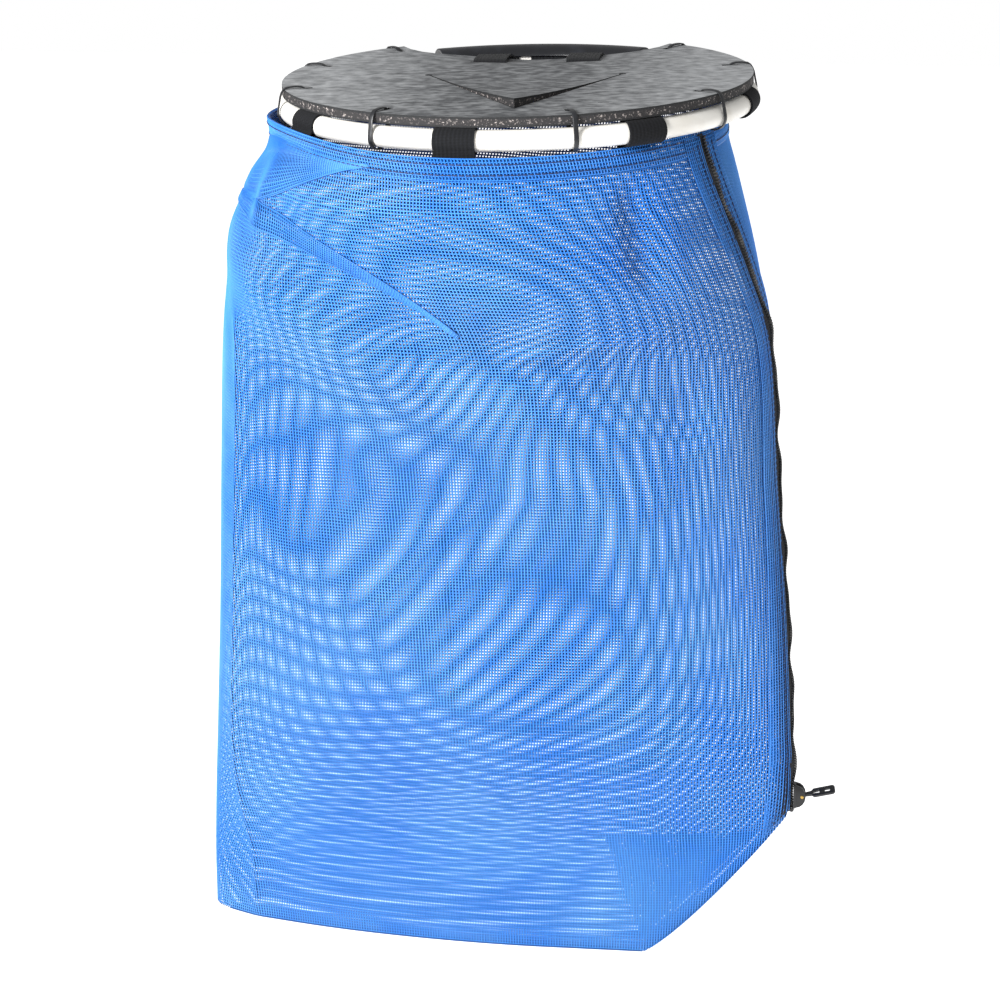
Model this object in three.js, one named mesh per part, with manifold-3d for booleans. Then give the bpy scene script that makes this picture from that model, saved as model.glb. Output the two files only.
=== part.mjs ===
// Dive catch bag: a mesh bag hung from a plastic tube ring, with a rubber lid lashed over the mouth.
// Millimetres, +Z up, front towards -Y, zip on the +X side. The origin is at the ring's centre; the heights
// in the tables are counted from a level that is ring.centreZ below it.
import * as THREE from 'three';
import { mergeVertices } from 'three/addons/utils/BufferGeometryUtils.js';
import Module from 'manifold-3d';

const wasm = await Module();
wasm.setup();

// Driving dimensions
const fitGap = 0.3;
const wallThickness = 1.2;

const ring = {
  radius: 177, tube: 8, centreZ: 614.5, riseRight: 0.025, riseBack: 0.018, sides: 10, steps: 48,
};
const hemSize = { top: -12.5, height: 16, thickness: 1.4 };

// Webbing loops: the throat is the half angle left open where the two layers leave the tube for the hem
const loopSize = {
  width: 30, thickness: 1.1, clearance: 0.8, layerGap: 0.15, hemClearance: 1.2,
  throat: 0.3, turns: 9, neckRise: 3, tailLength: 13,
};
const loopAngles = [-53.5, -8.5, 36.5, 81.5, 126.5, 177.5, 236.5, 261.5];

// Cable ties: the band bows up over the lid's edge, and its head hangs inside the ring
const tieSize = {
  width: 3.6, thickness: 1.2, clearance: 1.1, slitRadius: 164, slitLength: 6, slitInset: 1.6,
  edgeReach: 2.4, edgeRise: 0.6, bow: 2.2, bowReach: -2, slitRise: 1, slitDrop: 3, head: [5.4, 4.6, 4],
};
const tieArc = { from: 215, to: 375, step: 32, innerShare: 0.95, innerZ: -2, headReach: 2.3, headZ: -1 };
const tieAngles = [-138.5, -107, -71, -29, 19, 61, 103, 138.5];

const lidSize = { radius: 181, thickness: 7.6, lift: 10.2, steps: 44, rings: [55, 90, 125, 181] };
const lidWarps = [
  { name: 'sag at the hand cut-out', x: 5, y: 113, height: -6, spreadX: 62, spreadY: 42 },
  { name: 'curl behind on the right', x: 124, y: 134, height: 3, spreadX: 45, spreadY: 45 },
];
const flap = { left: [-69, 2], tip: [13, -145], right: [81, 0], slit: 1.6, stopHole: 3, holeSides: 10 };
const handCut = {
  edge: 113, halfStraight: 60, roundX: 88, roundY: 119, sideX: 112, sideY: 150, flare: 6, past: 20,
};

// Handle straps: the turns are angles round the tube, from under the grip's front lip to below the tube
const strapSize = {
  width: 26, thickness: 1.3, clearance: 0.9, slotY: 71, slotLength: 30, slotWidth: 4.5, edgeGap: 2,
  topTurn: 172, lowTurn: -116, turnStep: 24, bendRun: 14, bendRise: 0.4, places: [-30, 44],
};
const grip = {
  inner: 10.9, outer: 13.4, backLip: 25, frontLip: 156, arcSteps: 7, halfAngle: 28.5, middle: 179, steps: 10,
};

const zip = {
  start: 585, end: 40, tapeHalf: 12, facingFrom: 4.4, facingTo: 25,
  teethHalf: 3.2, teethStep: 10, toothNarrow: 0.72, toothLow: 0.8,
};
const zipStack = { tape: 0.8, facing: 1.2, teeth: 2.6 };
const slider = {
  z: 53, length: 19, plate: 2.2, plateHalf: 5.4, cheek: 1.8, cheekGap: 5.6, cheekSteps: 8,
  proud: 8, sunk: 0.2, pinOut: 5, pin: 1, pinSides: 10,
};
const pull = {
  eye: 2.6, hole: 1.4, eyeSides: 14, neck: 4.8, neckLength: 8.6, shoulder: 1,
  width: 9, length: 27, corner: 1.6, thickness: 2, slotWidth: 3, restRise: 14,
};
const pullSlots = [{ middle: 11.5, length: 5.5 }, { middle: 20.8, length: 4.2 }];

// Cross-sections of the bag from the bottom fold up. Each quarter between the right, front, left and back
// points is a superellipse with its own exponent: under 2 is pointed, over 2 is boxy.
// The zip sits at the right point, turned towards the front by zipTurn degrees.
const sections = [
  { z: -88, left: -262, leftY: 41, right: 222, rightY: -12, front: -21, back: 8, midX: 20,
    frontLeft: 1.7, frontRight: 4, backRight: 4, backLeft: 1.25, zipTurn: 0 },
  { z: -36, left: -261, leftY: 37, right: 222, rightY: -12, front: -31, back: 40, midX: 30,
    frontLeft: 1.75, frontRight: 3, backRight: 3, backLeft: 1.5, zipTurn: 0 },
  { z: 20, left: -258, leftY: 32, right: 222, rightY: -12.5, front: -42, back: 98, midX: 40,
    frontLeft: 1.8, frontRight: 2.3, backRight: 2.2, backLeft: 1.8, zipTurn: 0 },
  { z: 80, left: -253.5, leftY: 25, right: 222, rightY: -14, front: -55, back: 126, midX: 45,
    frontLeft: 1.9, frontRight: 1.95, backRight: 1.95, backLeft: 2, zipTurn: 0 },
  { z: 200, left: -245, leftY: 11, right: 215.5, rightY: -22, front: -82, back: 138, midX: 40,
    frontLeft: 2, frontRight: 1.8, backRight: 1.9, backLeft: 2.1, zipTurn: 0 },
  { z: 325, left: -237.5, leftY: -2, right: 205, rightY: -34, front: -120, back: 144, midX: 25,
    frontLeft: 2.1, frontRight: 1.75, backRight: 1.95, backLeft: 2.1, zipTurn: 0 },
  { z: 440, left: -229.5, leftY: -12, right: 198, rightY: -44, front: -168, back: 152, midX: 10,
    frontLeft: 2.1, frontRight: 1.85, backRight: 2, backLeft: 2.1, zipTurn: 6 },
  { z: 500, left: -219.5, leftY: -16, right: 187, rightY: -36, front: -191, back: 160, midX: 2,
    frontLeft: 2.1, frontRight: 1.95, backRight: 2, backLeft: 2.1, zipTurn: 16 },
  { z: 560, left: -205, leftY: -14, right: 170, rightY: -20, front: -195, back: 167, midX: -10,
    frontLeft: 2.1, frontRight: 2, backRight: 2, backLeft: 2, zipTurn: 26 },
  { z: 603, left: -193.5, leftY: -8.75, right: 158, rightY: -8.75, front: -188.5, back: 171, midX: -17.75,
    frontLeft: 2, frontRight: 2, backRight: 2, backLeft: 2, zipTurn: 30 },
];
const wallLevels = [
  -88, -62, -28, 12, 55, 105, 150, 200, 250, 300, 350, 400, 445, 482, 512, 538, 562, 583, 603,
];
const wallColumns = 56;
const mouthTiltFrom = 470;

// The folded-in corner lifts the right of the bottom fold: from baseX on it slants up to the zip's end at
// topX. The levels below join are squeezed into the height that is left.
const cornerLift = { baseX: 107, topX: 222, topZ: 36, join: 105 };
const cornerFold = { low: [107, -19.7, -79], side: [196, -20.3, 22], tip: [79, -38.2, 14] };
const bottom = wallLevels[0];
function liftedHeight(z, x) {
  const { baseX, topX, topZ, join } = cornerLift;
  const lift = (topZ - bottom) * THREE.MathUtils.clamp((x - baseX) / (topX - baseX), 0, 1);
  return z + (lift * Math.max(0, join - z)) / (join - bottom);
}

// The level that a height at the zip belongs to
function zipLevel(height) {
  const { topZ, join } = cornerLift;
  return height >= join ? height : join - ((join - height) * (join - bottom)) / (join - topZ);
}

// Creases and dents: each runs between two places, given as a share of the way round from the zip and a
// height, and pushes the wall in (under 0) or out by its depth over its width.
const folds = [
  { name: 'shoulder band', from: [0.42, 520], to: [0.27, 430], depth: 6, width: 30 },
  { name: 'shoulder hollow', from: [0.37, 560], to: [0.25, 480], depth: -7, width: 34 },
  { name: 'right mouth fold', from: [0.07, 600], to: [0.085, 515], depth: -8, width: 15 },
  { name: 'left mouth fold', from: [0.345, 600], to: [0.36, 545], depth: 7, width: 18 },
  { name: 'chest dent', from: [0.19, 455], to: [0.08, 400], depth: -8, width: 28 },
  { name: 'long slack', from: [0.34, 410], to: [0.16, 250], depth: -5, width: 45 },
  { name: 'low slack', from: [0.36, 260], to: [0.22, 90], depth: 5, width: 50 },
  { name: 'back slack', from: [0.86, 420], to: [0.62, 230], depth: -8, width: 55 },
  { name: 'back mouth fold', from: [0.7, 600], to: [0.71, 520], depth: -7, width: 20 },
];

const foldFade = { from: 555, to: 588 };

const colours = {
  mesh: { color: 0x3f8cf0, roughness: 0.55, metalness: 0 },
  webbing: { color: 0x17171a, roughness: 0.9, metalness: 0 },
  tube: { color: 0xece8e2, roughness: 0.35, metalness: 0 },
  rubber: { color: 0x6d6f72, roughness: 0.85, metalness: 0 },
  nylon: { color: 0x2a2b2e, roughness: 0.45, metalness: 0 },
  zipPlastic: { color: 0x141416, roughness: 0.4, metalness: 0 },
};

const bag = new THREE.Group();
const hung = new THREE.Group();
hung.position.z = -ring.centreZ;
bag.add(hung);
const degree = Math.PI / 180;

// Solids from rows of points
function closedGeometry(points, triangles) {
  let volume = 0;
  for (const [a, b, c] of triangles) {
    volume += points[a].dot(points[b].clone().cross(points[c])) / 6;
  }
  const facing = volume < 0 ? triangles.map(([a, b, c]) => [a, c, b]) : triangles;
  const geometry = new THREE.BufferGeometry();
  geometry.setAttribute('position', new THREE.Float32BufferAttribute(points.flatMap((p) => p.toArray()), 3));
  geometry.setIndex(facing.flat());
  return geometry;
}

function joinLoops(triangles, first, second, count) {
  for (let i = 0; i < count; i += 1) {
    const next = (i + 1) % count;
    triangles.push([first + i, first + next, second + next], [first + i, second + next, second + i]);
  }
}

// A solid through outlines with the same number of points, with flat ends or joined into a ring
function loft(outlines, { closed = false } = {}) {
  const count = outlines[0].length;
  const points = outlines.flat();
  const triangles = [];
  const last = closed ? outlines.length : outlines.length - 1;
  for (let row = 0; row < last; row += 1) {
    joinLoops(triangles, row * count, ((row + 1) % outlines.length) * count, count);
  }
  if (!closed) {
    const end = (outlines.length - 1) * count;
    for (const [a, b, c] of capTriangles(outlines[0])) triangles.push([c, b, a]);
    for (const [a, b, c] of capTriangles(outlines.at(-1))) triangles.push([end + a, end + b, end + c]);
  }
  return closedGeometry(points, triangles);
}

function capTriangles(outline) {
  const normal = new THREE.Vector3();
  outline.forEach((p, i) => normal.add(p.clone().cross(outline[(i + 1) % outline.length])));
  normal.normalize();
  const across = outline[1].clone().sub(outline[0]).normalize();
  const up = normal.clone().cross(across);
  const flat = outline.map((p) => new THREE.Vector2(p.dot(across), p.dot(up)));
  return THREE.ShapeUtils.triangulateShape(flat, []);
}

// A closed band: each station has an outer and an inner loop with the same number of points
function bandSolid(stations) {
  const count = stations[0].outer.length;
  const points = [];
  for (const { outer, inner } of stations) points.push(...outer, ...inner);
  const outerAt = (row, i) => row * 2 * count + (i % count);
  const innerAt = (row, i) => row * 2 * count + count + (i % count);
  const triangles = [];
  const quad = (a, b, c, d) => triangles.push([a, b, c], [a, c, d]);
  const end = stations.length - 1;
  for (let i = 0; i < count; i += 1) {
    for (let row = 0; row < end; row += 1) {
      quad(outerAt(row, i), outerAt(row, i + 1), outerAt(row + 1, i + 1), outerAt(row + 1, i));
      quad(innerAt(row, i), innerAt(row + 1, i), innerAt(row + 1, i + 1), innerAt(row, i + 1));
    }
    quad(outerAt(0, i + 1), outerAt(0, i), innerAt(0, i), innerAt(0, i + 1));
    quad(outerAt(end, i), outerAt(end, i + 1), innerAt(end, i + 1), innerAt(end, i));
  }
  return closedGeometry(points, triangles);
}

// A closed flat path moved sideways by a distance, outwards for a counter-clockwise path
function offsetPath(path, distance) {
  return path.map((point, i) => {
    const before = path[(i + path.length - 1) % path.length];
    const after = path[(i + 1) % path.length];
    const a = point.clone().sub(before).normalize();
    const b = after.clone().sub(point).normalize();
    const normal = new THREE.Vector2(a.y + b.y, -a.x - b.x).normalize();
    const mitre = Math.max(0.5, normal.dot(new THREE.Vector2(a.y, -a.x)));
    return point.clone().addScaledVector(normal, distance / mitre);
  });
}

// Cutting and joining
function toSolid(geometry) {
  const bare = geometry.clone();
  bare.deleteAttribute('normal');
  bare.deleteAttribute('uv');
  const merged = mergeVertices(bare, 1e-4);
  return new wasm.Manifold(new wasm.Mesh({
    numProp: 3,
    vertProperties: new Float32Array(merged.attributes.position.array),
    triVerts: new Uint32Array(merged.index.array),
  }));
}

function fromSolid(solid) {
  const mesh = solid.getMesh();
  const geometry = new THREE.BufferGeometry();
  geometry.setAttribute('position', new THREE.Float32BufferAttribute(mesh.vertProperties, 3));
  geometry.setIndex(Array.from(mesh.triVerts));
  return geometry;
}

function cut(geometry, cutters) {
  return fromSolid(cutters.reduce((solid, cutter) => solid.subtract(toSolid(cutter)), toSolid(geometry)));
}

function fuse(geometries) {
  return fromSolid(geometries.map(toSolid).reduce((whole, solid) => whole.add(solid)));
}

function addPiece(parent, name, geometry, colour) {
  geometry.computeVertexNormals();
  const mesh = new THREE.Mesh(geometry, new THREE.MeshStandardMaterial(colours[colour]));
  mesh.name = name;
  parent.add(mesh);
}

// The bag's wall
function smoothColumn(key, z) {
  const rows = sections;
  let i = rows.findIndex((row) => row.z > z) - 1;
  if (i < -1) i = rows.length - 2;
  const at = (k) => rows[Math.min(Math.max(k, 0), rows.length - 1)];
  const slope = (k) => (at(k + 1)[key] - at(k - 1)[key]) / (at(k + 1).z - at(k - 1).z);
  const low = at(i);
  const high = at(i + 1);
  const span = high.z - low.z;
  const t = (z - low.z) / span;
  const rise = high[key] - low[key];
  const start = slope(i) * span;
  const end = slope(i + 1) * span;
  return low[key] + start * t + (3 * rise - 2 * start - end) * t ** 2 + (start + end - 2 * rise) * t ** 3;
}

function sectionAt(z) {
  return Object.fromEntries(Object.keys(sections[0]).map((key) => [key, smoothColumn(key, z)]));
}

function sectionPoint(shape, turn) {
  const c = Math.cos(turn * degree);
  const s = Math.sin(turn * degree);
  const sides = c >= 0 ? ['Right', shape.right, shape.rightY] : ['Left', shape.left, shape.leftY];
  const [side, reachX, middleY] = sides;
  const exponent = 2 / (s >= 0 ? shape[`front${side}`] : shape[`back${side}`]);
  const reachY = s >= 0 ? shape.front : shape.back;
  return new THREE.Vector2(
    shape.midX + (reachX - shape.midX) * Math.abs(c) ** exponent,
    middleY + (reachY - middleY) * Math.abs(s) ** exponent,
  );
}

// Each level is measured once as a fine outline that starts at the zip, so that places go by length round it
const fineSteps = 720;
function measureLevel(z) {
  const shape = sectionAt(z);
  const points = [];
  for (let i = 0; i <= fineSteps; i += 1) {
    points.push(sectionPoint(shape, shape.zipTurn + (360 * i) / fineSteps));
  }
  const lengths = [0];
  for (let i = 1; i <= fineSteps; i += 1) lengths.push(lengths[i - 1] + points[i].distanceTo(points[i - 1]));
  const leftStep = Math.round(((180 - shape.zipTurn) * fineSteps) / 360);
  return { z, points, lengths, around: lengths[fineSteps], front: lengths[leftStep] };
}

// Half of the columns lie on the front from the zip to the left edge, and half on the back
function columnPlace({ front, around }, k) {
  const half = wallColumns / 2;
  return k <= half ? (front * k) / half : front + ((around - front) * (k - half)) / half;
}

function alongLevel(level, distance) {
  const s = ((distance % level.around) + level.around) % level.around;
  let low = 0;
  let high = fineSteps;
  while (high - low > 1) {
    const middle = (low + high) >> 1;
    if (level.lengths[middle] <= s) low = middle;
    else high = middle;
  }
  const span = level.lengths[high] - level.lengths[low];
  return level.points[low].clone().lerp(level.points[high], span > 0 ? (s - level.lengths[low]) / span : 0);
}

const normalReach = 6;
function levelNormal(level, distance) {
  const ahead = alongLevel(level, distance + normalReach);
  const behind = alongLevel(level, distance - normalReach);
  return new THREE.Vector2(behind.y - ahead.y, ahead.x - behind.x).normalize();
}

function foldDepth(share, z, around) {
  let depth = 0;
  for (const fold of folds) {
    const start = new THREE.Vector2(fold.from[0] * around, fold.from[1]);
    const end = new THREE.Vector2(fold.to[0] * around, fold.to[1]);
    const run = end.clone().sub(start);
    const place = new THREE.Vector2(share * around, z).sub(start);
    const t = Math.min(Math.max(place.dot(run) / run.lengthSq(), 0), 1);
    const away = place.distanceTo(run.multiplyScalar(t)) / fold.width;
    depth += fold.depth * Math.exp(-away * away);
  }
  return depth * (1 - THREE.MathUtils.smoothstep(z, foldFade.from, foldFade.to));
}

const levels = wallLevels.map(measureLevel);

// A place on the wall's outer face: a distance round from the zip at one level, moved out by some millimetres
function levelPoint(level, distance, out) {
  const share = (distance / level.around + 1) % 1;
  const flat = alongLevel(level, distance);
  const normal = levelNormal(level, distance);
  const push = out + foldDepth(share, level.z, level.around);
  flat.addScaledVector(normal, push);
  const tilt = THREE.MathUtils.smoothstep(level.z, mouthTiltFrom, wallLevels.at(-1));
  const rise = tilt * (ring.riseRight * flat.x + ring.riseBack * flat.y);
  return new THREE.Vector3(flat.x, flat.y, liftedHeight(level.z, flat.x) + rise);
}

function wallPoint(distance, z, out) {
  const high = Math.max(1, levels.findIndex((level) => level.z >= z));
  const low = levels[high - 1];
  const t = (z - low.z) / (levels[high].z - low.z);
  return levelPoint(low, distance, out).lerp(levelPoint(levels[high], distance, out), t);
}

function bagBody() {
  const outer = levels.map((level) => Array.from({ length: wallColumns },
    (_, k) => levelPoint(level, columnPlace(level, k), 0)));
  const inner = outer.map((row, r) => row.map((point, k) => {
    const across = row[(k + 1) % wallColumns].clone().sub(row[(k + wallColumns - 1) % wallColumns]);
    const above = outer[Math.min(r + 1, outer.length - 1)][k];
    const below = outer[Math.max(r - 1, 0)][k];
    const normal = above.clone().sub(below).cross(across).normalize();
    const moved = point.clone().addScaledVector(normal, -wallThickness);
    if (r === 0) moved.z = point.z + wallThickness;
    if (r === outer.length - 1) moved.z = point.z;
    return moved;
  }));
  const points = [...outer.flat(), ...inner.flat()];
  const triangles = [];
  const innerStart = outer.length * wallColumns;
  const rowStart = (r) => r * wallColumns;
  const innerFaces = [];
  for (let r = 0; r < outer.length - 1; r += 1) {
    joinLoops(triangles, rowStart(r), rowStart(r + 1), wallColumns);
    joinLoops(innerFaces, innerStart + rowStart(r), innerStart + rowStart(r + 1), wallColumns);
  }
  triangles.push(...innerFaces.map(([a, b, c]) => [a, c, b]));
  const top = outer.length - 1;
  joinLoops(triangles, rowStart(top), innerStart + rowStart(top), wallColumns);
  const base = [];
  for (let k = 0; k < wallColumns / 2; k += 1) {
    const behind = (wallColumns - k) % wallColumns;
    if (k > 0) base.push([k, behind, behind - 1]);
    if (k + 1 < behind - 1 || k === 0) base.push([k, wallColumns - k - 1, k + 1]);
  }
  triangles.push(...base, ...base.map(([a, b, c]) => [innerStart + a, innerStart + c, innerStart + b]));
  return closedGeometry(points, triangles);
}

const zipLevels = (from, to) => [to, ...wallLevels.filter((z) => z > to + 4 && z < from - 2), from];

// A strip along the zip, through distances round from it, lying some millimetres out from the wall
function zipStrip(places, out, thickness) {
  return loft(zipLevels(zip.start, zipLevel(zip.end)).map((z) => [
    ...places.map((s) => wallPoint(s, z, out)),
    ...places.toReversed().map((s) => wallPoint(s, z, out + thickness)),
  ]));
}

function zipTeeth(out) {
  const steps = Math.round((zip.start - zip.end) / zip.teethStep);
  const outlines = [];
  for (let i = 0; i <= steps; i += 1) {
    const z = zipLevel(zip.end + ((zip.start - zip.end) * i) / steps);
    const half = i % 2 ? zip.teethHalf : zip.teethHalf * zip.toothNarrow;
    const height = i % 2 ? zipStack.teeth * zip.toothLow : zipStack.teeth;
    const corners = [[-half, 0], [half, 0], [half, height], [-half, height]];
    outlines.push(corners.map(([s, rise]) => wallPoint(s, z, out + rise)));
  }
  return loft(outlines);
}

function hem() {
  const top = levels.at(-1);
  const bottom = measureLevel(top.z - hemSize.height);
  const near = 2 * fitGap;
  const far = near + hemSize.thickness;
  return loft(Array.from({ length: wallColumns }, (_, k) => {
    const place = (level, out) => levelPoint(level, columnPlace(level, k), out);
    return [place(bottom, near), place(bottom, far), place(top, far), place(top, near)];
  }), { closed: true });
}

function cornerFoldPiece() {
  const { low, side, tip } = cornerFold;
  const corners = [low, side, tip].map((place) => new THREE.Vector3(...place));
  const normal = corners[1].clone().sub(corners[0]).cross(corners[2].clone().sub(corners[0])).normalize();
  const half = normal.multiplyScalar(wallThickness / 2);
  return loft([corners.map((p) => p.clone().sub(half)), corners.map((p) => p.clone().add(half))]);
}

// The ring and what is lashed to it, in the ring's own plane
const mouth = new THREE.Group();
mouth.position.z = ring.centreZ;
const mouthUp = new THREE.Vector3(-ring.riseRight, -ring.riseBack, 1).normalize();
mouth.quaternion.setFromUnitVectors(new THREE.Vector3(0, 0, 1), mouthUp);
hung.add(mouth);

// A direction seen from above: 0 is the front, positive towards the zip side
const heading = (angle) => new THREE.Vector2(Math.sin(angle * degree), -Math.cos(angle * degree));

// A point in an upright plane through the ring's axis: its reach from the tube's centre, its height
// and a step sideways
function ringPoint(angle, reach, height, sideways = 0) {
  const out = heading(angle);
  const along = new THREE.Vector2(-out.y, out.x);
  const flat = out.multiplyScalar(ring.radius + reach).addScaledVector(along, sideways);
  return new THREE.Vector3(flat.x, flat.y, height);
}

// How far the mouth of the bag is from the ring's axis in one direction, on a line moved sideways
function mouthReach(angle, sideways) {
  const top = sections.at(-1);
  const halfX = (top.right - top.left) / 2;
  const halfY = (top.back - top.front) / 2;
  const out = heading(angle);
  const start = new THREE.Vector2(-out.y, out.x).multiplyScalar(sideways);
  start.sub(new THREE.Vector2(top.midX, top.rightY));
  const a = (out.x / halfX) ** 2 + (out.y / halfY) ** 2;
  const b = (start.x * out.x) / halfX ** 2 + (start.y * out.y) / halfY ** 2;
  const c = (start.x / halfX) ** 2 + (start.y / halfY) ** 2 - 1;
  return (-b + Math.sqrt(b * b - a * c)) / a;
}

// A webbing loop: round the tube, then two layers together down the inside of the hem
function webbingLoop(angle) {
  const half = loopSize.thickness / 2;
  const radius = ring.tube + loopSize.clearance + half;
  const layer = half + loopSize.layerGap;
  const reaches = [-loopSize.width / 2, 0, loopSize.width / 2].map((side) => mouthReach(angle, side));
  const tailX = Math.min(...reaches) - wallThickness - loopSize.hemClearance - 2 * layer - ring.radius;
  const tailTop = new THREE.Vector2(tailX, hemSize.top + loopSize.neckRise);
  const neck = Math.atan2(tailTop.y, tailTop.x);
  const wrapped = 2 * Math.PI - 2 * loopSize.throat;
  const path = [];
  for (let i = 0; i <= loopSize.turns; i += 1) {
    const turn = neck + loopSize.throat + (wrapped * i) / loopSize.turns;
    path.push(new THREE.Vector2(Math.cos(turn), Math.sin(turn)).multiplyScalar(radius));
  }
  const side = new THREE.Vector2(-Math.sin(neck), Math.cos(neck)).multiplyScalar(layer);
  const low = hemSize.top - loopSize.tailLength;
  path.push(tailTop.clone().sub(side), new THREE.Vector2(tailX - layer, low));
  path.push(new THREE.Vector2(tailX + layer, low), tailTop.clone().add(side));
  const outer = offsetPath(path, half);
  const inner = offsetPath(path, -half);
  const spanAngle = (loopSize.width / 2 / ring.radius) / degree;
  const stations = [-spanAngle, 0, spanAngle].map((turn) => ({
    outer: outer.map((p) => ringPoint(angle + turn, p.x, p.y)),
    inner: inner.map((p) => ringPoint(angle + turn, p.x, p.y)),
  }));
  return bandSolid(stations);
}

// A cable tie: out of its slit, over the lid's edge, round the tube and back, with its head on the inside
function cableTie(angle) {
  const slitX = tieSize.slitRadius - ring.radius;
  const edgeX = lidSize.radius - ring.radius;
  const warps = [slitX, edgeX].map((reach) => ringPoint(angle, reach, 0)).map((p) => lidWarp(p.x, p.y));
  const lidTop = lidSize.lift + lidSize.thickness + Math.max(...warps);
  const around = ring.tube + tieSize.clearance + tieSize.thickness / 2;
  const path = [[slitX, lidSize.lift - tieSize.slitDrop], [-around * tieArc.innerShare, tieArc.innerZ]];
  for (let turn = tieArc.from; turn <= tieArc.to; turn += tieArc.step) {
    path.push([around * Math.cos(turn * degree), around * Math.sin(turn * degree)]);
  }
  path.push([edgeX + tieSize.edgeReach, lidTop + tieSize.edgeRise]);
  path.push([tieSize.bowReach, lidTop + tieSize.bow], [slitX, lidTop + tieSize.slitRise]);
  const points = path.map(([x, y]) => new THREE.Vector2(x, y));
  const outer = offsetPath(points, tieSize.thickness / 2);
  const inner = offsetPath(points, -tieSize.thickness / 2);
  const band = bandSolid([-1, 1].map((side) => ({
    outer: outer.map((p) => ringPoint(angle, p.x, p.y, (side * tieSize.width) / 2)),
    inner: inner.map((p) => ringPoint(angle, p.x, p.y, (side * tieSize.width) / 2)),
  })));
  const head = new THREE.BoxGeometry(...tieSize.head);
  head.rotateZ(angle * degree);
  head.translate(...ringPoint(angle, -around - tieArc.headReach, tieArc.headZ).toArray());
  return fuse([band, head]);
}

// How far the soft lid lies above or below its own plane
function lidWarp(x, y) {
  return lidWarps.reduce((sum, warp) => {
    const away = ((x - warp.x) / warp.spreadX) ** 2 + ((y - warp.y) / warp.spreadY) ** 2;
    return sum + warp.height * Math.exp(-away);
  }, 0);
}

function prism(outline, low, high) {
  const shape = new THREE.Shape(outline.map(([x, y]) => new THREE.Vector2(x, y)));
  const geometry = new THREE.ExtrudeGeometry(shape, { depth: high - low, bevelEnabled: false });
  return geometry.translate(0, 0, low);
}

function lid() {
  const place = (radius, k, rise) => {
    const flat = heading((360 * k) / lidSize.steps).multiplyScalar(radius);
    return new THREE.Vector3(flat.x, flat.y, lidSize.lift + rise + lidWarp(flat.x, flat.y));
  };
  const points = [];
  const triangles = [];
  const layers = [0, lidSize.thickness].map((rise) => {
    const start = points.length;
    points.push(place(0, 0, rise));
    for (const radius of lidSize.rings) {
      for (let k = 0; k < lidSize.steps; k += 1) points.push(place(radius, k, rise));
    }
    return start;
  });
  const rim = (lidSize.rings.length - 1) * lidSize.steps + 1;
  layers.forEach((start, side) => {
    const found = [];
    for (let k = 0; k < lidSize.steps; k += 1) {
      found.push([start, start + 1 + k, start + 1 + ((k + 1) % lidSize.steps)]);
    }
    for (let row = 0; row < lidSize.rings.length - 1; row += 1) {
      joinLoops(found, start + 1 + (row + 1) * lidSize.steps, start + 1 + row * lidSize.steps, lidSize.steps);
    }
    triangles.push(...(side ? found : found.map(([a, b, c]) => [a, c, b])));
  });
  joinLoops(triangles, layers[0] + rim, layers[1] + rim, lidSize.steps);
  const slab = closedGeometry(points, triangles);

  const low = 0;
  const high = lidSize.lift + 3 * lidSize.thickness;
  const cutters = [];
  const half = [
    [handCut.halfStraight, handCut.edge],
    [handCut.roundX, handCut.roundY],
    [handCut.sideX, handCut.sideY],
    [handCut.sideX + handCut.flare, lidSize.radius + handCut.past],
  ];
  cutters.push(prism([...half, ...half.toReversed().map(([x, y]) => [-x, y])], low, high));
  const [left, tip, right] = [flap.left, flap.tip, flap.right].map(([x, y]) => new THREE.Vector2(x, y));
  for (const end of [left, right]) {
    const run = end.clone().sub(tip).normalize();
    const side = new THREE.Vector2(-run.y, run.x).multiplyScalar(flap.slit / 2);
    const start = tip.clone().addScaledVector(run, -flap.slit);
    const oneSide = [start, end].map((p) => p.clone().add(side).toArray());
    const otherSide = [end, start].map((p) => p.clone().sub(side).toArray());
    cutters.push(prism([...oneSide, ...otherSide], low, high));
    const hole = new THREE.CylinderGeometry(flap.stopHole, flap.stopHole, high - low, flap.holeSides);
    cutters.push(hole.rotateX(Math.PI / 2).translate(end.x, end.y, (high + low) / 2));
  }
  for (const angle of tieAngles) {
    const slit = new THREE.BoxGeometry(tieSize.width + 4 * fitGap, tieSize.slitLength, high - low);
    const middle = ringPoint(angle, tieSize.slitRadius - ring.radius - tieSize.slitInset, (high + low) / 2);
    cutters.push(slit.rotateZ(angle * degree).translate(...middle.toArray()));
  }
  for (const x of strapSize.places) {
    const slot = new THREE.BoxGeometry(strapSize.slotLength, strapSize.slotWidth, high - low);
    cutters.push(slot.translate(x, strapSize.slotY, (high + low) / 2));
  }
  return cut(slab, cutters);
}

// The grip: a half-round shell along the back of the ring
function handleGrip() {
  const arc = (radius) => Array.from({ length: grip.arcSteps + 1 }, (_, i) => {
    const turn = (grip.backLip + ((grip.frontLip - grip.backLip) * i) / grip.arcSteps) * degree;
    return [radius * Math.cos(turn), radius * Math.sin(turn)];
  });
  const outline = [...arc(grip.outer), ...arc(grip.inner).reverse()];
  return loft(Array.from({ length: grip.steps + 1 }, (_, i) => {
    const angle = grip.middle - grip.halfAngle + (2 * grip.halfAngle * i) / grip.steps;
    return outline.map(([reach, height]) => ringPoint(angle, reach, height));
  }));
}

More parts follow.
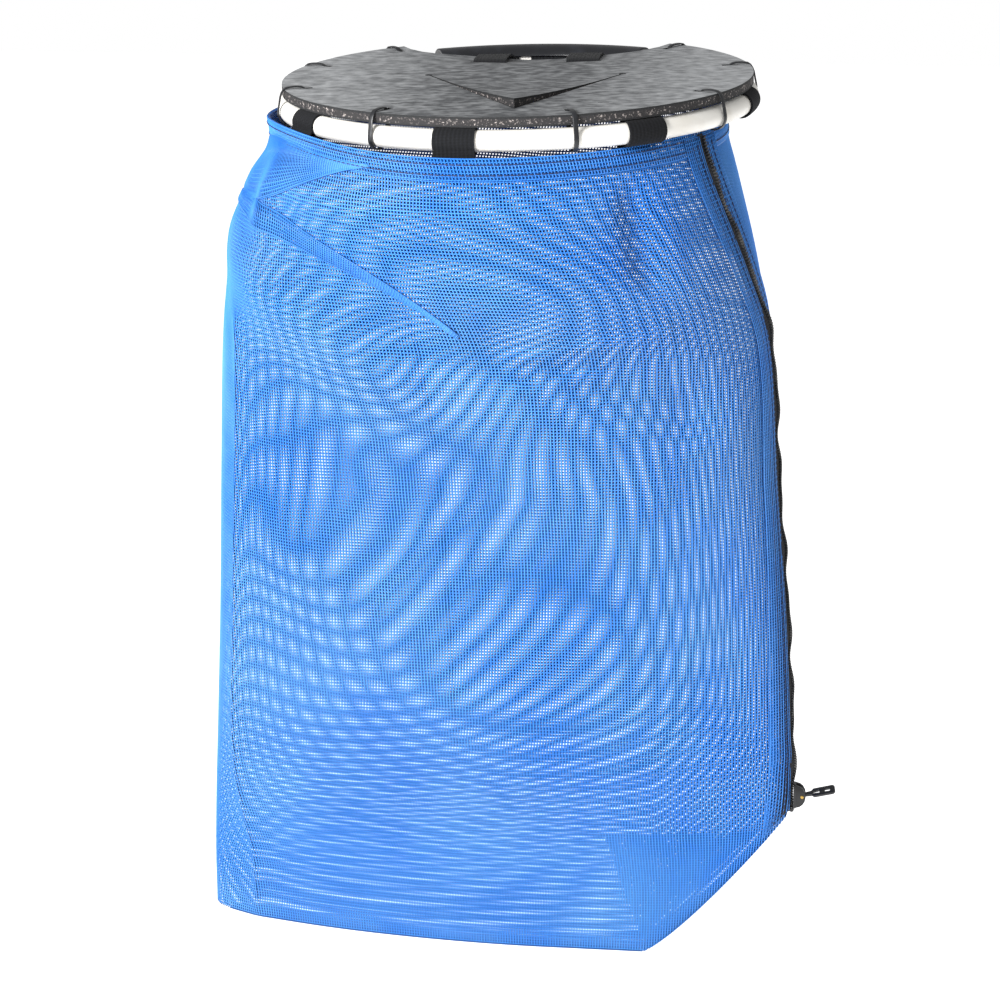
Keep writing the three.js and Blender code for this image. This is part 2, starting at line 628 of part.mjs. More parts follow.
// A strap: up through its slot, back over the lid, round the tube below the grip and forward under the lid
function handleStrap(x) {
  const half = strapSize.thickness / 2;
  const radius = ring.tube + strapSize.clearance + half;
  const edgeY = handCut.edge + strapSize.edgeGap;
  const bendY = edgeY - strapSize.bendRun;
  const warps = (y) => [-1, 0, 1].map((side) => lidWarp(x + (side * strapSize.width) / 2, y));
  const over = (y) => lidSize.lift + lidSize.thickness + Math.max(...warps(y)) + half + strapSize.clearance;
  const under = (y) => lidSize.lift + Math.min(...warps(y)) - half - strapSize.clearance;
  const path = [];
  for (let turn = strapSize.topTurn; turn >= strapSize.lowTurn; turn -= strapSize.turnStep) {
    path.push({ tube: true, y: radius * Math.cos(turn * degree), z: radius * Math.sin(turn * degree) });
  }
  const { slotY, bendRise } = strapSize;
  path.push({ y: bendY, z: under(bendY) - bendRise }, { y: slotY, z: under(slotY) });
  path.push({ y: slotY, z: over(slotY) }, { y: bendY, z: over(bendY) + bendRise });
  path.push({ y: edgeY, z: over(edgeY) });
  const stations = [-1, 0, 1].map((side) => {
    const at = x + (side * strapSize.width) / 2;
    const tubeY = Math.sqrt(ring.radius ** 2 - at ** 2);
    const flat = path.map((p) => new THREE.Vector2(p.tube ? tubeY + p.y : p.y, p.z));
    const place = (p) => new THREE.Vector3(at, p.x, p.y);
    return { outer: offsetPath(flat, -half).map(place), inner: offsetPath(flat, half).map(place) };
  });
  return bandSolid(stations);
}

// The zip's slider and its pull, modelled facing +X with the pin at the group's origin
const hingePlace = new THREE.Group();
const tapeOut = 2 * fitGap;
const overTape = tapeOut + zipStack.tape + 2 * fitGap;
const sliderBase = wallPoint(0, zipLevel(slider.z), overTape + zipStack.teeth + fitGap);
hingePlace.position.copy(sliderBase).add(new THREE.Vector3(slider.plate + slider.pinOut, 0, 0));
hung.add(hingePlace);

function zipSlider() {
  const back = -slider.pinOut - slider.plate;
  const plate = new THREE.BoxGeometry(slider.plate, 2 * slider.plateHalf, slider.length);
  plate.translate(back + slider.plate / 2, 0, 0);
  const arc = Array.from({ length: slider.cheekSteps + 1 }, (_, i) => {
    const turn = (i / slider.cheekSteps - 0.5) * Math.PI;
    const reach = slider.proud * Math.cos(turn) - slider.pinOut - slider.sunk;
    return [reach, (slider.length / 2) * Math.sin(turn)];
  });
  const cheeks = [-1, 1].map((side) => {
    const middle = (side * (slider.cheekGap + slider.cheek)) / 2;
    return prism(arc, -slider.cheek / 2, slider.cheek / 2).rotateX(Math.PI / 2).translate(0, middle, 0);
  });
  const pinLength = slider.cheekGap + slider.cheek;
  const pin = new THREE.CylinderGeometry(slider.pin, slider.pin, pinLength, slider.pinSides);
  return fuse([plate, ...cheeks, pin]);
}

function zipPull() {
  const eye = new THREE.CylinderGeometry(pull.eye, pull.eye, pull.neck, pull.eyeSides);
  const neck = new THREE.BoxGeometry(pull.neckLength, pull.neck, pull.thickness);
  neck.translate(pull.neckLength / 2, 0, 0);
  const half = pull.width / 2;
  const side = [
    [pull.neckLength - pull.shoulder, pull.neck / 2],
    [pull.neckLength + pull.shoulder, half],
    [pull.length - pull.corner, half],
    [pull.length, half - pull.corner],
  ];
  const outline = [...side.map(([x, y]) => [x, -y]), ...side.toReversed()];
  const tab = prism(outline, -pull.thickness / 2, pull.thickness / 2);
  const hole = new THREE.CylinderGeometry(pull.hole, pull.hole, 2 * pull.neck, pull.eyeSides);
  const slots = pullSlots.map(({ middle, length }) => (
    new THREE.BoxGeometry(length, pull.slotWidth, pull.thickness * 3).translate(middle, 0, 0)));
  return cut(fuse([eye, neck, tab]), [hole, ...slots]).rotateY(-pull.restRise * degree);
}

// The assembly
addPiece(hung, 'bag_body', bagBody(), 'mesh');
addPiece(hung, 'corner_fold', cornerFoldPiece(), 'mesh');
addPiece(hung, 'hem', hem(), 'mesh');
const { tapeHalf, facingFrom, facingTo } = zip;
const tapePlaces = [-tapeHalf, -facingFrom, 0, facingFrom, tapeHalf];
const facingPlaces = [facingFrom, tapeHalf, (tapeHalf + facingTo) / 2, facingTo];
const backPlaces = facingPlaces.map((s) => -s);
addPiece(hung, 'zip_tape', zipStrip(tapePlaces, tapeOut, zipStack.tape), 'webbing');
addPiece(hung, 'zip_facing_front', zipStrip(facingPlaces, overTape, zipStack.facing), 'mesh');
addPiece(hung, 'zip_facing_back', zipStrip(backPlaces, overTape, zipStack.facing), 'mesh');
addPiece(hung, 'zip_teeth', zipTeeth(overTape), 'zipPlastic');
addPiece(hingePlace, 'zip_slider', zipSlider(), 'zipPlastic');
addPiece(hingePlace, 'zip_pull', zipPull(), 'zipPlastic');

addPiece(mouth, 'ring', new THREE.TorusGeometry(ring.radius, ring.tube, ring.sides, ring.steps), 'tube');
addPiece(mouth, 'lid', lid(), 'rubber');
addPiece(mouth, 'handle_grip', handleGrip(), 'zipPlastic');
strapSize.places.forEach((x, i) => addPiece(mouth, `handle_strap_${i + 1}`, handleStrap(x), 'webbing'));
loopAngles.forEach((angle, i) => addPiece(mouth, `webbing_loop_${i + 1}`, webbingLoop(angle), 'webbing'));
tieAngles.forEach((angle, i) => addPiece(mouth, `cable_tie_${i + 1}`, cableTie(angle), 'nylon'));

export default bag;
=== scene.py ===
# Dive catch bag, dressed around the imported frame. Sizes in the dictionaries are millimetres.
import math
import bpy
import numpy as np
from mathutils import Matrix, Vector


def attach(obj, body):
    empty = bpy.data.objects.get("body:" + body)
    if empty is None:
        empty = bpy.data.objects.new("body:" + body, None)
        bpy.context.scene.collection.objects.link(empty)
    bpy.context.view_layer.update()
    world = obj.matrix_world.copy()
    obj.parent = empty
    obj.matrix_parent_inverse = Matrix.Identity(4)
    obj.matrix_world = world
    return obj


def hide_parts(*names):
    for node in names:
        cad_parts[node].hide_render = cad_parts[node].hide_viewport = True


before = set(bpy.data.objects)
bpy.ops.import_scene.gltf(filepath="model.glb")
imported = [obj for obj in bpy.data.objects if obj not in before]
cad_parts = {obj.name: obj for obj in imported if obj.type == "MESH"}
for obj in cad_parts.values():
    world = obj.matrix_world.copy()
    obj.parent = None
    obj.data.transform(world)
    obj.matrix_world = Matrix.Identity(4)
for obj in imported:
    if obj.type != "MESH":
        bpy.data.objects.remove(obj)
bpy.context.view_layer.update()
mm = 0.001
print("frame:", len(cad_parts), "nodes")


# Small helpers

def linearColour(hexText):  # "#rrggbb" in sRGB to linear
    parts = [int(hexText[i:i + 2], 16) / 255 for i in (1, 3, 5)]
    return [c / 12.92 if c <= 0.04045 else ((c + 0.055) / 1.055) ** 2.4 for c in parts] + [1.0]


def clearSelection():
    if bpy.context.mode != "OBJECT":
        bpy.ops.object.mode_set(mode="OBJECT")
    bpy.ops.object.select_all(action="DESELECT")


def makeActive(obj):
    clearSelection()
    obj.select_set(True)
    bpy.context.view_layer.objects.active = obj


def applyModifier(obj, kind, **settings):
    makeActive(obj)
    modifier = obj.modifiers.new(kind.title(), kind)
    for key, value in settings.items():
        setattr(modifier, key, value)
    bpy.ops.object.modifier_apply(modifier=modifier.name)


def namePiece(name):  # the piece that an operator has just added
    obj = bpy.context.object
    obj.name = name
    obj.data.name = name
    return obj


def applyPlace(obj):
    makeActive(obj)
    bpy.ops.object.transform_apply(location=True, rotation=True, scale=True)


def cutAway(obj, cutter, operation="DIFFERENCE"):
    applyModifier(obj, "BOOLEAN", operation=operation, object=cutter, solver="EXACT")
    bpy.data.objects.remove(cutter)


def editWhole(obj):  # into edit mode with the whole mesh selected
    makeActive(obj)
    bpy.ops.object.mode_set(mode="EDIT")
    bpy.ops.mesh.select_all(action="SELECT")


def outwardFaces(obj):
    editWhole(obj)
    bpy.ops.mesh.normals_make_consistent(inside=False)
    clearSelection()


def smoothByAngle(obj, degrees=40):
    makeActive(obj)
    bpy.ops.object.shade_smooth_by_angle(angle=math.radians(degrees))


def finishFaces(obj, degrees=40):
    outwardFaces(obj)
    smoothByAngle(obj, degrees)


def breakEdges(obj, width, segments, degrees):
    applyModifier(obj, "BEVEL", width=width * mm, segments=segments, limit_method="ANGLE",
                  angle_limit=math.radians(degrees))


def addObject(name, data):
    obj = bpy.data.objects.new(name, data)
    bpy.context.scene.collection.objects.link(obj)
    return obj


def joinPieces(name, parts):
    makeActive(parts[0])
    for part in parts:
        part.select_set(True)
    bpy.ops.object.join()
    return namePiece(name)


def meshFromArrays(name, points, faces, uv=None, uvName="OFBake"):  # points in mm, faces with four corners
    mesh = bpy.data.meshes.new(name)
    mesh.vertices.add(len(points))
    mesh.vertices.foreach_set("co", (np.asarray(points) * mm).astype(np.float32).ravel())
    corners = np.asarray(faces, np.int32)
    mesh.loops.add(corners.size)
    mesh.loops.foreach_set("vertex_index", corners.ravel())
    mesh.polygons.add(len(corners))
    mesh.polygons.foreach_set("loop_start", np.arange(0, corners.size, 4, dtype=np.int32))
    mesh.update(calc_edges=True)
    if uv is not None:
        layer = mesh.uv_layers.new(name=uvName)
        uv = np.asarray(uv, np.float32)
        layer.data.foreach_set("uv", (uv if len(uv) == corners.size else uv[corners.ravel()]).ravel())
    return addObject(name, mesh)


def dress(obj, material, nodes=(), body="bag"):
    if material is not None:
        obj.data.materials.clear()
        obj.data.materials.append(material)
    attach(obj, body)
    if nodes:
        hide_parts(*nodes)
    return obj


def smoothStep(value, low, high):
    t = np.clip((value - low) / (high - low), 0, 1)
    return t * t * (3 - 2 * t)


def unit(vectors):
    return vectors / np.maximum(np.linalg.norm(vectors, axis=-1, keepdims=True), 1e-9)


# Materials

def mainOutput(node):
    return next(socket for socket in node.outputs if socket.enabled)


def addNode(tree, kind, inputs=None, **settings):  # an input is a number, hex colour, socket or node
    node = tree.nodes.new("ShaderNode" + kind)
    for key, value in settings.items():
        setattr(node, key, value)
    for key, value in (inputs or {}).items():
        if isinstance(value, bpy.types.Node):
            value = mainOutput(value)
        if isinstance(value, bpy.types.NodeSocket):
            tree.links.new(value, node.inputs[key])
        else:
            node.inputs[key].default_value = linearColour(value) if isinstance(value, str) else value
    return node


def newMaterial(name, **values):
    material = bpy.data.materials.new(name)
    material.use_nodes = True
    shader = material.node_tree.nodes["Principled BSDF"]
    for key, value in values.items():
        socket = shader.inputs[key.replace("_", " ")]
        socket.default_value = linearColour(value) if isinstance(value, str) else value
    return material, material.node_tree


def wireShader(material, colour, rough=None, bump=None):
    tree = material.node_tree
    shader = tree.nodes["Principled BSDF"]
    for node, key in ((colour, "Base Color"), (rough, "Roughness"), (bump, "Normal")):
        if node is not None:
            tree.links.new(mainOutput(node), shader.inputs[key])
    return material


def coatedMesh():  # polyester yarn dipped in PVC: azure with a soft gloss; painted shade darkens each strand's edges and inner side towards the gap colour, so the gaps look deep
    look = dict(gap="#06306e", deep="#2f88f0", lit="#5ba6f8", drift=140, rub=26)
    material, tree = newMaterial("PVC-coated polyester mesh", Roughness=0.42, IOR=1.42)
    place = addNode(tree, "TexCoord").outputs["Object"]
    drift = addNode(tree, "TexNoise", {"Vector": place, "Scale": 1 / (look["drift"] * mm)})
    rub = addNode(tree, "TexNoise", {"Vector": place, "Scale": 1 / (look["rub"] * mm)})
    mix = addNode(tree, "Math", {0: rub, 1: 0.35, 2: drift}, operation="MULTIPLY_ADD")
    share = addNode(tree, "MapRange", {"Value": mix, "From Min": 0.45, "From Max": 0.9})
    colour = addNode(tree, "Mix", {0: share, 6: look["deep"], 7: look["lit"]}, data_type="RGBA")
    # painted shade mask: 1 on a strand's outer side, low at its edges and lowest on its inner side, which
    # take the gap colour
    outer = addNode(tree, "Attribute", attribute_name="paintedLightShare").outputs["Fac"]
    shaded = addNode(tree, "Mix", {0: outer, 6: look["gap"], 7: colour}, data_type="RGBA")
    rough = addNode(tree, "MapRange", {"Value": rub, "To Min": 0.34, "To Max": 0.52})
    return wireShader(material, shaded, rough)


def elasticWebbing():  # woven elastic: black ribs with fine cross threads, dull, paler along the ribs
    look = dict(black="#0b0c0e", worn="#1c1d21", crossThread=1.1, rib=2.9, fuzz=1.6)
    material, tree = newMaterial("woven elastic webbing", Roughness=0.85, IOR=1.3, Sheen_Weight=0.03)
    uv = addNode(tree, "UVMap", uv_map="Ribbon")
    parts = addNode(tree, "SeparateXYZ", {0: uv}).outputs
    waves = []
    for key, pitch, shape in (("Y", look["crossThread"], "SINE"), ("X", look["rib"], "COSINE")):
        turn = addNode(tree, "Math", {0: parts[key], 1: 2 * math.pi / (pitch * mm)}, operation="MULTIPLY")
        waves.append(addNode(tree, "Math", {0: turn}, operation=shape))
    fuzz = addNode(tree, "TexNoise", {"Vector": uv, "Scale": 1 / (look["fuzz"] * mm), "Detail": 4.0})
    height = addNode(tree, "Math", {0: waves[0], 1: 0.35, 2: fuzz}, operation="MULTIPLY_ADD")
    shade = addNode(tree, "Math", {0: waves[1], 1: 0.3, 2: height}, operation="MULTIPLY_ADD")
    share = addNode(tree, "MapRange", {"Value": shade, "From Min": 0.1, "From Max": 1.2})
    colour = addNode(tree, "Mix", {0: share, 6: look["black"], 7: look["worn"]}, data_type="RGBA")
    bump = addNode(tree, "Bump", {"Height": height, "Strength": 0.7, "Distance": 0.35 * mm})
    return wireShader(material, colour, bump=bump)


def tubePlastic():  # extruded PVC conduit: warm white, satin, faint draw lines and handling marks
    look = dict(white="#f4f1ea", worn="#dcd6ca", draw=9, mark=34)
    material, tree = newMaterial("extruded PVC tube", Roughness=0.36, IOR=1.53)
    place = addNode(tree, "TexCoord").outputs["Object"]
    mark = addNode(tree, "TexNoise", {"Vector": place, "Scale": 1 / (look["mark"] * mm), "Detail": 5.0})
    share = addNode(tree, "MapRange", {"Value": mark, "From Min": 0.52, "From Max": 0.8})
    colour = addNode(tree, "Mix", {0: share, 6: look["white"], 7: look["worn"]}, data_type="RGBA")
    fine = addNode(tree, "TexNoise", {"Vector": place, "Scale": 1 / (look["draw"] * mm), "Detail": 3.0})
    bump = addNode(tree, "Bump", {"Height": fine, "Strength": 0.12, "Distance": 0.4 * mm})
    rough = addNode(tree, "MapRange", {"Value": fine, "To Min": 0.28, "To Max": 0.46})
    return wireShader(material, colour, rough, bump)


def rubberTop():  # conveyor belting: calendered grey rubber, a pale bloom in short streaks, some scratches; a painted highlight makes the bloom stronger towards both sides
    look = dict(dark="#393b3e", mid="#484a4d", bloomAndHighlight="#b4b6b8", scratch="#b9bcbe", streakX=10, streakY=6,
                cloud=70, highlightFrom=40, highlightTo=140, scratchLong=55, scratchWide=2.2, slant=58, grain=2.4)
    material, tree = newMaterial("rubber belting, face", Roughness=0.62, IOR=1.52)
    place = addNode(tree, "TexCoord").outputs["Object"]
    along = addNode(tree, "Mapping",
                    {0: place, "Scale": (1 / (look["streakX"] * mm), 1 / (look["streakY"] * mm), 40)})
    streak = addNode(tree, "TexNoise", {"Vector": along, "Scale": 1.0, "Detail": 6.0})
    cloud = addNode(tree, "TexNoise", {"Vector": place, "Scale": 1 / (look["cloud"] * mm), "Detail": 3.0})
    base = addNode(tree, "Mix", {0: cloud, 6: look["dark"], 7: look["mid"]}, data_type="RGBA")
    side = addNode(tree, "SeparateXYZ", {0: place}).outputs["X"]
    outward = addNode(tree, "Math", {0: side}, operation="ABSOLUTE")
    # painted highlight: more bloom away from the middle, towards both sides
    worn = addNode(tree, "MapRange", {"Value": outward, "From Min": look["highlightFrom"] * mm,
                                      "From Max": look["highlightTo"] * mm, "To Max": 0.27})
    pale = addNode(tree, "Math", {0: streak, 1: worn}, operation="ADD")
    bloomAndHighlight = addNode(tree, "MapRange", {"Value": pale, "From Min": 0.4, "From Max": 1.0, "To Max": 0.9})
    streaked = addNode(tree, "Mix", {0: bloomAndHighlight, 6: base, 7: look["bloomAndHighlight"]}, data_type="RGBA")
    slant = addNode(tree, "Mapping", {
        0: place, "Rotation": (0, 0, math.radians(look["slant"])),
        "Scale": (1 / (look["scratchLong"] * mm), 1 / (look["scratchWide"] * mm), 1)})
    line = addNode(tree, "TexNoise", {"Vector": slant, "Scale": 1.0, "Detail": 2.0})
    scratch = addNode(tree, "MapRange", {"Value": line, "From Min": 0.7, "From Max": 0.78, "To Max": 0.6})
    colour = addNode(tree, "Mix", {0: scratch, 6: streaked, 7: look["scratch"]}, data_type="RGBA")
    rough = addNode(tree, "MapRange", {"Value": streak, "To Min": 0.5, "To Max": 0.78})
    grain = addNode(tree, "TexNoise", {"Vector": place, "Scale": 1 / (look["grain"] * mm), "Detail": 4.0})
    bump = addNode(tree, "Bump", {"Height": grain, "Strength": 0.25, "Distance": 0.4 * mm})
    return wireShader(material, colour, rough, bump)


def rubberEdge():  # the belting's cut edge: dark skins above and below, chopped pale cord in the middle
    look = dict(dark="#17181a", core="#262425", fleck="#c4b9b4", size=2.2)
    material, tree = newMaterial("rubber belting, cut edge", Roughness=0.8, IOR=1.52)
    place = addNode(tree, "TexCoord").outputs["Object"]
    height = addNode(tree, "Attribute", attribute_name="slabHeight").outputs["Fac"]
    away = addNode(tree, "Math", {0: height, 1: 0.48}, operation="SUBTRACT")
    middle = addNode(tree, "Math", {0: away}, operation="ABSOLUTE")
    core = addNode(tree, "MapRange", {"Value": middle, "From Min": 0.36, "From Max": 0.24})
    chop = addNode(tree, "TexNoise",
                   {"Vector": place, "Scale": 1 / (look["size"] * mm), "Detail": 5.0, "Roughness": 0.7})
    fleck = addNode(tree, "MapRange", {"Value": chop, "From Min": 0.56, "From Max": 0.68})
    share = addNode(tree, "Math", {0: fleck, 1: core}, operation="MULTIPLY")
    base = addNode(tree, "Mix", {0: core, 6: look["dark"], 7: look["core"]}, data_type="RGBA")
    colour = addNode(tree, "Mix", {0: share, 6: base, 7: look["fleck"]}, data_type="RGBA")
    bump = addNode(tree, "Bump", {"Height": chop, "Strength": 0.8, "Distance": 0.8 * mm})
    return wireShader(material, colour, bump=bump)


def mouldedPlastic(name, dark, worn, roughness, grain):  # black, moulded or extruded, scuffed in places; on the zip teeth the pale patches are painted highlights
    patchSize = 18
    material, tree = newMaterial(name, Roughness=roughness, IOR=1.5)
    place = addNode(tree, "TexCoord").outputs["Object"]
    scuffAndHighlight = addNode(tree, "TexNoise", {"Vector": place, "Scale": 1 / (patchSize * mm), "Detail": 6.0})
    share = addNode(tree, "MapRange", {"Value": scuffAndHighlight, "From Min": 0.48, "From Max": 0.75})
    colour = addNode(tree, "Mix", {0: share, 6: dark, 7: worn}, data_type="RGBA")
    fine = addNode(tree, "TexNoise", {"Vector": place, "Scale": 1 / (grain * mm), "Detail": 3.0})
    low, high = roughness - 0.08, roughness + 0.12
    rough = addNode(tree, "MapRange", {"Value": fine, "To Min": low, "To Max": high})
    bump = addNode(tree, "Bump", {"Height": fine, "Strength": 0.15, "Distance": 0.2 * mm})
    return wireShader(material, colour, rough, bump)


def tapeCloth():  # woven polyester zip tape: dull black with a fine twill
    look = dict(black="#0f0f11", thread="#26272b", pitch=1.2)
    material, tree = newMaterial("woven zip tape", Roughness=0.85, IOR=1.5, Sheen_Weight=0.15)
    uv = addNode(tree, "UVMap", uv_map="Ribbon")
    waves = {"Vector": uv, "Scale": 0.314 / (look["pitch"] * mm), "Distortion": 1.5, "Detail": 2.0}
    twill = addNode(tree, "TexWave", waves, bands_direction="DIAGONAL").outputs["Fac"]
    colour = addNode(tree, "Mix", {0: twill, 6: look["black"], 7: look["thread"]}, data_type="RGBA")
    bump = addNode(tree, "Bump", {"Height": twill, "Strength": 0.5, "Distance": 0.2 * mm})
    return wireShader(material, colour, bump=bump)


def mottled(name, dark, lit, grain, **values):  # one finish in two close shades
    material, tree = newMaterial(name, **values)
    place = addNode(tree, "TexCoord").outputs["Object"]
    shade = addNode(tree, "TexNoise", {"Vector": place, "Scale": 1 / (grain * mm)})
    colour = addNode(tree, "Mix", {0: shade, 6: dark, 7: lit}, data_type="RGBA")
    return wireShader(material, colour)


meshCloth = coatedMesh()
elastic = elasticWebbing()
tubeWhite = tubePlastic()
rubberFace = rubberTop()
rubberCut = rubberEdge()
tieNylon = mouldedPlastic("moulded nylon", "#1b1c1f", "#2c2e32", 0.36, 3.0)
# the teeth's pale patches (#5c5a57) are painted highlights
toothAcetal = mouldedPlastic("moulded acetal, painted highlights", "#1a1a1c", "#5c5a57", 0.28, 2.0)
zipAcetal = mouldedPlastic("moulded acetal", "#0b0b0d", "#19191c", 0.3, 2.0)
gripBlack = mouldedPlastic("extruded grip plastic", "#15161a", "#22242a", 0.26, 6.0)
tapeBlack = tapeCloth()
thread = mottled("bonded polyester thread", "#0d1a38", "#1c2f5c", 1.5, Roughness=0.6, IOR=1.5)  # navy
brass = mottled("turned brass", "#8f7436", "#c9a860", 1.2, Roughness=0.3, Metallic=1.0)  # slightly dull
print("materials:", len(bpy.data.materials))


# The shape of the bag's wall, level by level. Heights are counted from a level 614.5 mm below the ring.

columns = "z left leftY right rightY front back midX frontLeft frontRight backRight backLeft zipTurn".split()
sectionRows = np.array([
    (-88, -262, 41, 222, -12, -21, 8, 20, 1.7, 4, 4, 1.25, 0),
    (-36, -261, 37, 222, -12, -31, 40, 30, 1.75, 3, 3, 1.5, 0),
    (20, -258, 32, 222, -12.5, -42, 98, 40, 1.8, 2.3, 2.2, 1.8, 0),
    (80, -253.5, 25, 222, -14, -55, 126, 45, 1.9, 1.95, 1.95, 2, 0),
    (200, -245, 11, 215.5, -22, -82, 138, 40, 2, 1.8, 1.9, 2.1, 0),
    (325, -237.5, -2, 205, -34, -120, 144, 25, 2.1, 1.75, 1.95, 2.1, 0),
    (440, -229.5, -12, 198, -44, -168, 152, 10, 2.1, 1.85, 2, 2.1, 6),
    (500, -219.5, -16, 187, -36, -191, 160, 2, 2.1, 1.95, 2, 2.1, 15.5),
    (560, -203, -14, 170, -20, -195, 167, -10, 2.1, 2, 2, 2, 22.5),
    (583, -188, -11, 162.5, -14, -191.5, 169, -14, 2, 2, 2, 2, 24),
    (603, -190, -8.75, 158, -8.75, -188.5, 171, -17.75, 2, 2, 2, 2, 25),
], float)
ringSize = dict(radius=177, tube=8, centreZ=614.5, riseRight=0.025, riseBack=0.018)
wallSize = dict(bottom=-88, top=603, tiltFrom=470, fadeFrom=555, fadeTo=588, steps=720, normalReach=6,
                lowLevels=90, highLevels=170)
mouthRise = {"from": 535, "all": 1.5, "left": 9, "share": 0.34, "spread": 0.09}  # how the mouth is drawn up
cornerLift = dict(baseX=107, topX=222, topZ=36, join=105, bulge=1.22)

# Creases: share round from the zip and height at both ends, depth (under 0 is inwards) and width
folds = [
    dict(start=(0.42, 520), end=(0.27, 430), depth=6, width=30),  # shoulder band
    dict(start=(0.37, 560), end=(0.25, 480), depth=-7, width=34),  # shoulder hollow
    dict(start=(0.07, 600), end=(0.085, 515), depth=-8, width=15),  # right mouth fold
    dict(start=(0.345, 600), end=(0.36, 545), depth=7, width=18),  # left mouth fold
    dict(start=(0.19, 455), end=(0.08, 400), depth=-8, width=28),  # chest dent
    dict(start=(0.34, 410), end=(0.16, 250), depth=-5, width=45),  # long slack
    dict(start=(0.36, 260), end=(0.22, 90), depth=5, width=50),  # low slack
    dict(start=(0.86, 420), end=(0.62, 230), depth=-8, width=55),  # back slack
    dict(start=(0.7, 600), end=(0.71, 520), depth=-7, width=20),  # back mouth fold
    dict(start=(0.4, 450), end=(0.452, -80), depth=3.5, width=9, crest=True),  # left crease
    dict(start=(0.19, 452), end=(0.09, 470), depth=3, width=7, crest=True),  # upper smile
    dict(start=(0.19, 426), end=(0.138, 436), depth=3, width=7, crest=True),  # lower smile
]


def sectionAt(z):
    last = len(sectionRows) - 1
    i = int(np.clip(np.searchsorted(sectionRows[:, 0], z, side="right") - 1, 0, last - 1))

    def slope(k):
        before, after = sectionRows[max(k - 1, 0)], sectionRows[min(k + 1, last)]
        return (after - before) / (after[0] - before[0])

    low, high = sectionRows[i], sectionRows[i + 1]
    span = high[0] - low[0]
    t = (z - low[0]) / span
    rise, start, end = high - low, slope(i) * span, slope(i + 1) * span
    row = low + start * t + (3 * rise - 2 * start - end) * t ** 2 + (start + end - 2 * rise) * t ** 3
    return dict(zip(columns, row))


def levelOutline(z):  # a fine outline from the zip round by the front, with its running length
    s = sectionAt(z)
    turn = np.radians(s["zipTurn"] + np.linspace(0, 360, wallSize["steps"] + 1))
    c, d = np.cos(turn), np.sin(turn)
    right, front = c >= 0, d >= 0
    rightPower = np.where(front, s["frontRight"], s["backRight"])
    leftPower = np.where(front, s["frontLeft"], s["backLeft"])
    power = 2 / np.where(right, rightPower, leftPower)
    reachX = np.where(right, s["right"], s["left"])
    reachY = np.where(front, s["front"], s["back"])
    middleY = np.where(right, s["rightY"], s["leftY"])
    x = s["midX"] + (reachX - s["midX"]) * np.abs(c) ** power
    y = middleY + (reachY - middleY) * np.abs(d) ** power
    return x, y, np.concatenate([[0], np.cumsum(np.hypot(np.diff(x), np.diff(y)))])


def foldDepth(share, z, around):
    depth = np.zeros_like(share)
    for fold in folds:
        startX, startZ = fold["start"][0] * around, fold["start"][1]
        runX, runZ = fold["end"][0] * around - startX, fold["end"][1] - startZ
        placeX, placeZ = share * around - startX, z - startZ
        t = np.clip((placeX * runX + placeZ * runZ) / (runX ** 2 + runZ ** 2), 0, 1)
        away = np.hypot(placeX - t * runX, placeZ - t * runZ) / fold["width"]
        depth += fold["depth"] * np.exp(-away if fold.get("crest") else -away * away)
    return depth * (1 - smoothStep(z, wallSize["fadeFrom"], wallSize["fadeTo"]))


def liftedHeight(z, x):  # the folded-in corner squeezes the levels below join
    lift = cornerLift["topZ"] - wallSize["bottom"]
    t = np.clip((x - cornerLift["baseX"]) / (cornerLift["topX"] - cornerLift["baseX"]), 0, 1)
    lift = lift * t ** cornerLift["bulge"]
    return z + lift * np.maximum(0, cornerLift["join"] - z) / (cornerLift["join"] - wallSize["bottom"])


def zipLevel(height):  # the level that a height at the zip belongs to
    join, topZ = cornerLift["join"], cornerLift["topZ"]
    return height if height >= join else join - (join - height) * (join - wallSize["bottom"]) / (join - topZ)


def wallRow(z, distance=None, out=0.0, shares=None):  # points on one level, by mm or by share from the zip
    x, y, lengths = levelOutline(z)
    around = lengths[-1]
    distance = np.asarray(shares) * around if distance is None else np.asarray(distance, float)

    def at(shift):
        place = (distance + shift) % around
        return np.stack([np.interp(place, lengths, x), np.interp(place, lengths, y)], axis=-1)

    across = at(wallSize["normalReach"]) - at(-wallSize["normalReach"])
    normal = unit(np.stack([-across[:, 1], across[:, 0]], axis=-1))
    share = distance / around % 1
    push = out + foldDepth(share, z, around)
    flat = at(0) + normal * push[:, None]
    tilt = smoothStep(z, wallSize["tiltFrom"], wallSize["top"])
    rise = tilt * (ringSize["riseRight"] * flat[:, 0] + ringSize["riseBack"] * flat[:, 1])
    near = np.exp(-((share - mouthRise["share"]) / mouthRise["spread"]) ** 2)
    gather = mouthRise["all"] + mouthRise["left"] * near
    rise = rise + gather * smoothStep(z, mouthRise["from"], wallSize["top"])
    return np.column_stack([flat, liftedHeight(z, flat[:, 0]) + rise - ringSize["centreZ"]])


def wallGrid(shares, heights):  # points at true heights, and the height of the bottom edge below each column
    join = cornerLift["join"]
    low = np.linspace(wallSize["bottom"], join, wallSize["lowLevels"])
    high = np.linspace(join, wallSize["top"], wallSize["highLevels"])
    levels = np.concatenate([low, high[1:]])
    table = np.stack([wallRow(z, shares=shares) for z in levels])
    height = np.where(levels[:, None] < join, table[:, :, 2] + ringSize["centreZ"], levels[:, None])
    if heights.ndim == 1:
        heights = np.repeat(heights[:, None], len(shares), axis=1)
    grid = np.empty((*heights.shape, 3))
    for c in range(len(shares)):
        place = np.interp(heights[:, c], height[:, c], np.arange(len(levels)))
        for axis in range(3):
            grid[:, c, axis] = np.interp(place, np.arange(len(levels)), table[:, c, axis])
    return grid, height[0]


# Weaving: strands along the rows and columns of a grid of points

# the real mesh is about 2.3 mm in pitch, and is drawn a little coarser so that its strands show
# shade scales the painted shade on every strand: under 1 makes the strands darker
weaveSize = dict(pitch=2.5, rowPitch=2.75, width=1.4, thickness=0.9, warpRise=0.15, station=10, shade=1.0)


